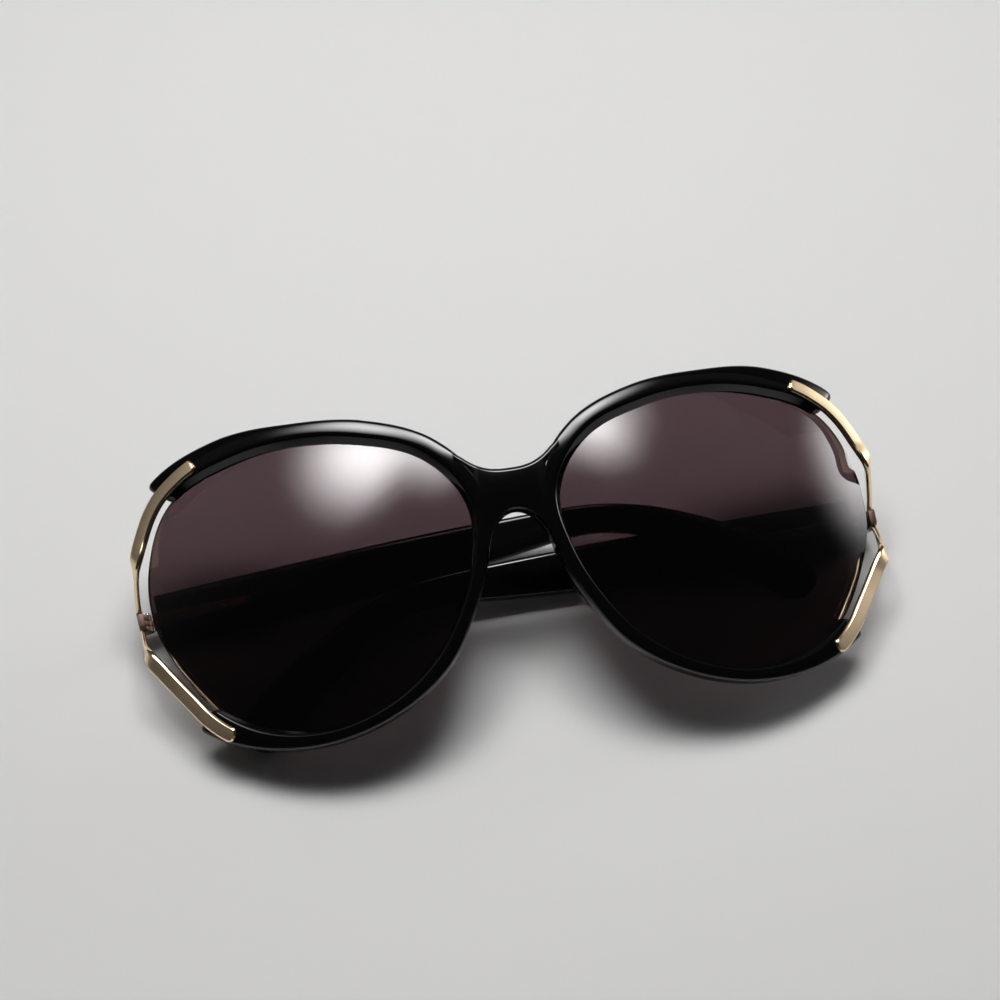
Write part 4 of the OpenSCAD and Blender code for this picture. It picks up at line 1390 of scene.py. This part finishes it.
def studio_world(dark, bright):
    """Even light that is stronger from behind the glasses than from the viewer's side."""
    world = bpy.data.worlds.new("studio")
    world.use_nodes = True
    tree = world.node_tree
    way = node_of(tree, "ShaderNodeTexCoord").outputs["Generated"]
    run = {"Value": node_of(tree, "ShaderNodeSeparateXYZ", {"Vector": way}).outputs["Y"]}
    run.update({"From Min": WORLD_FROM, "From Max": WORLD_TO, "To Min": dark, "To Max": bright})
    rise = node_of(tree, "ShaderNodeMapRange", run, interpolation_type="SMOOTHSTEP")
    feed(tree, tree.nodes["Background"], {"Strength": rise.outputs["Result"], "Color": (1, 1, 1, 1)})
    return world


class GLASSES_OT_stage(bpy.types.Operator):
    """Floor, backdrop, lamps and the camera"""

    bl_idname = "glasses.stage"
    bl_label = "Stage"

    def execute(self, context):
        s = settings("stage")
        floor = material_of(
            "pale paper", s.floor, polish_group(), {"Roughness": 0.75, "Spread": 0.1, "Scale": 60}, ior=1.4
        )
        rows = [(y, 0) for y in (-FLOOR_HALF, -2, SWEEP_Y)]
        rows += [
            (SWEEP_Y + SWEEP_R * math.sin(a), SWEEP_R - SWEEP_R * math.cos(a))
            for a in np.linspace(0.1, math.pi / 2, 14)
        ]
        rows += [(SWEEP_Y + SWEEP_R, 4)]
        points = [(x, y, z) for y, z in rows for x in (-FLOOR_HALF, FLOOR_HALF)]
        faces = [(2 * i, 2 * i + 1, 2 * i + 3, 2 * i + 2) for i in range(len(rows) - 1)]
        paper = piece("floor", points, faces, [floor])
        context.scene.world = studio_world(s.dark, s.bright)
        lamps = [softbox(*card, getattr(s, level)) for *card, level in SOFTBOXES]
        turn, shift = resting()
        place = turn @ CAMERA_PLACE + shift
        right, down, ahead = (turn @ way for way in CAMERA_WAYS)
        camera = bpy.data.cameras.new("camera")
        camera.lens, camera.sensor_width = CAMERA_LENS, CAMERA_SENSOR
        camera.clip_start = 0.01
        eye = linked("camera", camera)
        eye.matrix_world = Matrix([*zip(right, -down, -ahead, place), (0, 0, 0, 1)])
        context.scene.camera = eye
        context.scene.view_settings.view_transform = "Standard"
        return {"FINISHED"}


class GLASSES_PT_panel(bpy.types.Panel):
    bl_label = "Round sunglasses"
    bl_idname = "GLASSES_PT_panel"
    bl_space_type = "VIEW_3D"
    bl_region_type = "UI"
    bl_category = "Sunglasses"

    def draw(self, context):
        for operator in OPERATORS:
            self.layout.operator(operator.bl_idname)


OPERATORS = (
    GLASSES_OT_front,
    GLASSES_OT_lenses,
    GLASSES_OT_pads,
    GLASSES_OT_bars,
    GLASSES_OT_temples,
    GLASSES_OT_hinges,
    GLASSES_OT_fittings,
    GLASSES_OT_stage,
)


def register():
    for cls in (*GROUPS.values(), *OPERATORS, GLASSES_PT_panel):
        bpy.utils.register_class(cls)
    for name, cls in GROUPS.items():
        setattr(bpy.types.Scene, name, bpy.props.PointerProperty(type=cls))


def unregister():
    for name in GROUPS:
        delattr(bpy.types.Scene, name)
    for cls in reversed((*GROUPS.values(), *OPERATORS, GLASSES_PT_panel)):
        bpy.utils.unregister_class(cls)


def main():
    register()
    bpy.ops.glasses.front()
    bpy.ops.glasses.lenses()
    bpy.ops.glasses.pads()
    bpy.ops.glasses.bars()
    bpy.ops.glasses.temples()
    bpy.ops.glasses.hinges()
    bpy.ops.glasses.fittings()
    bpy.ops.glasses.stage()


if __name__ == "__main__":
    main()
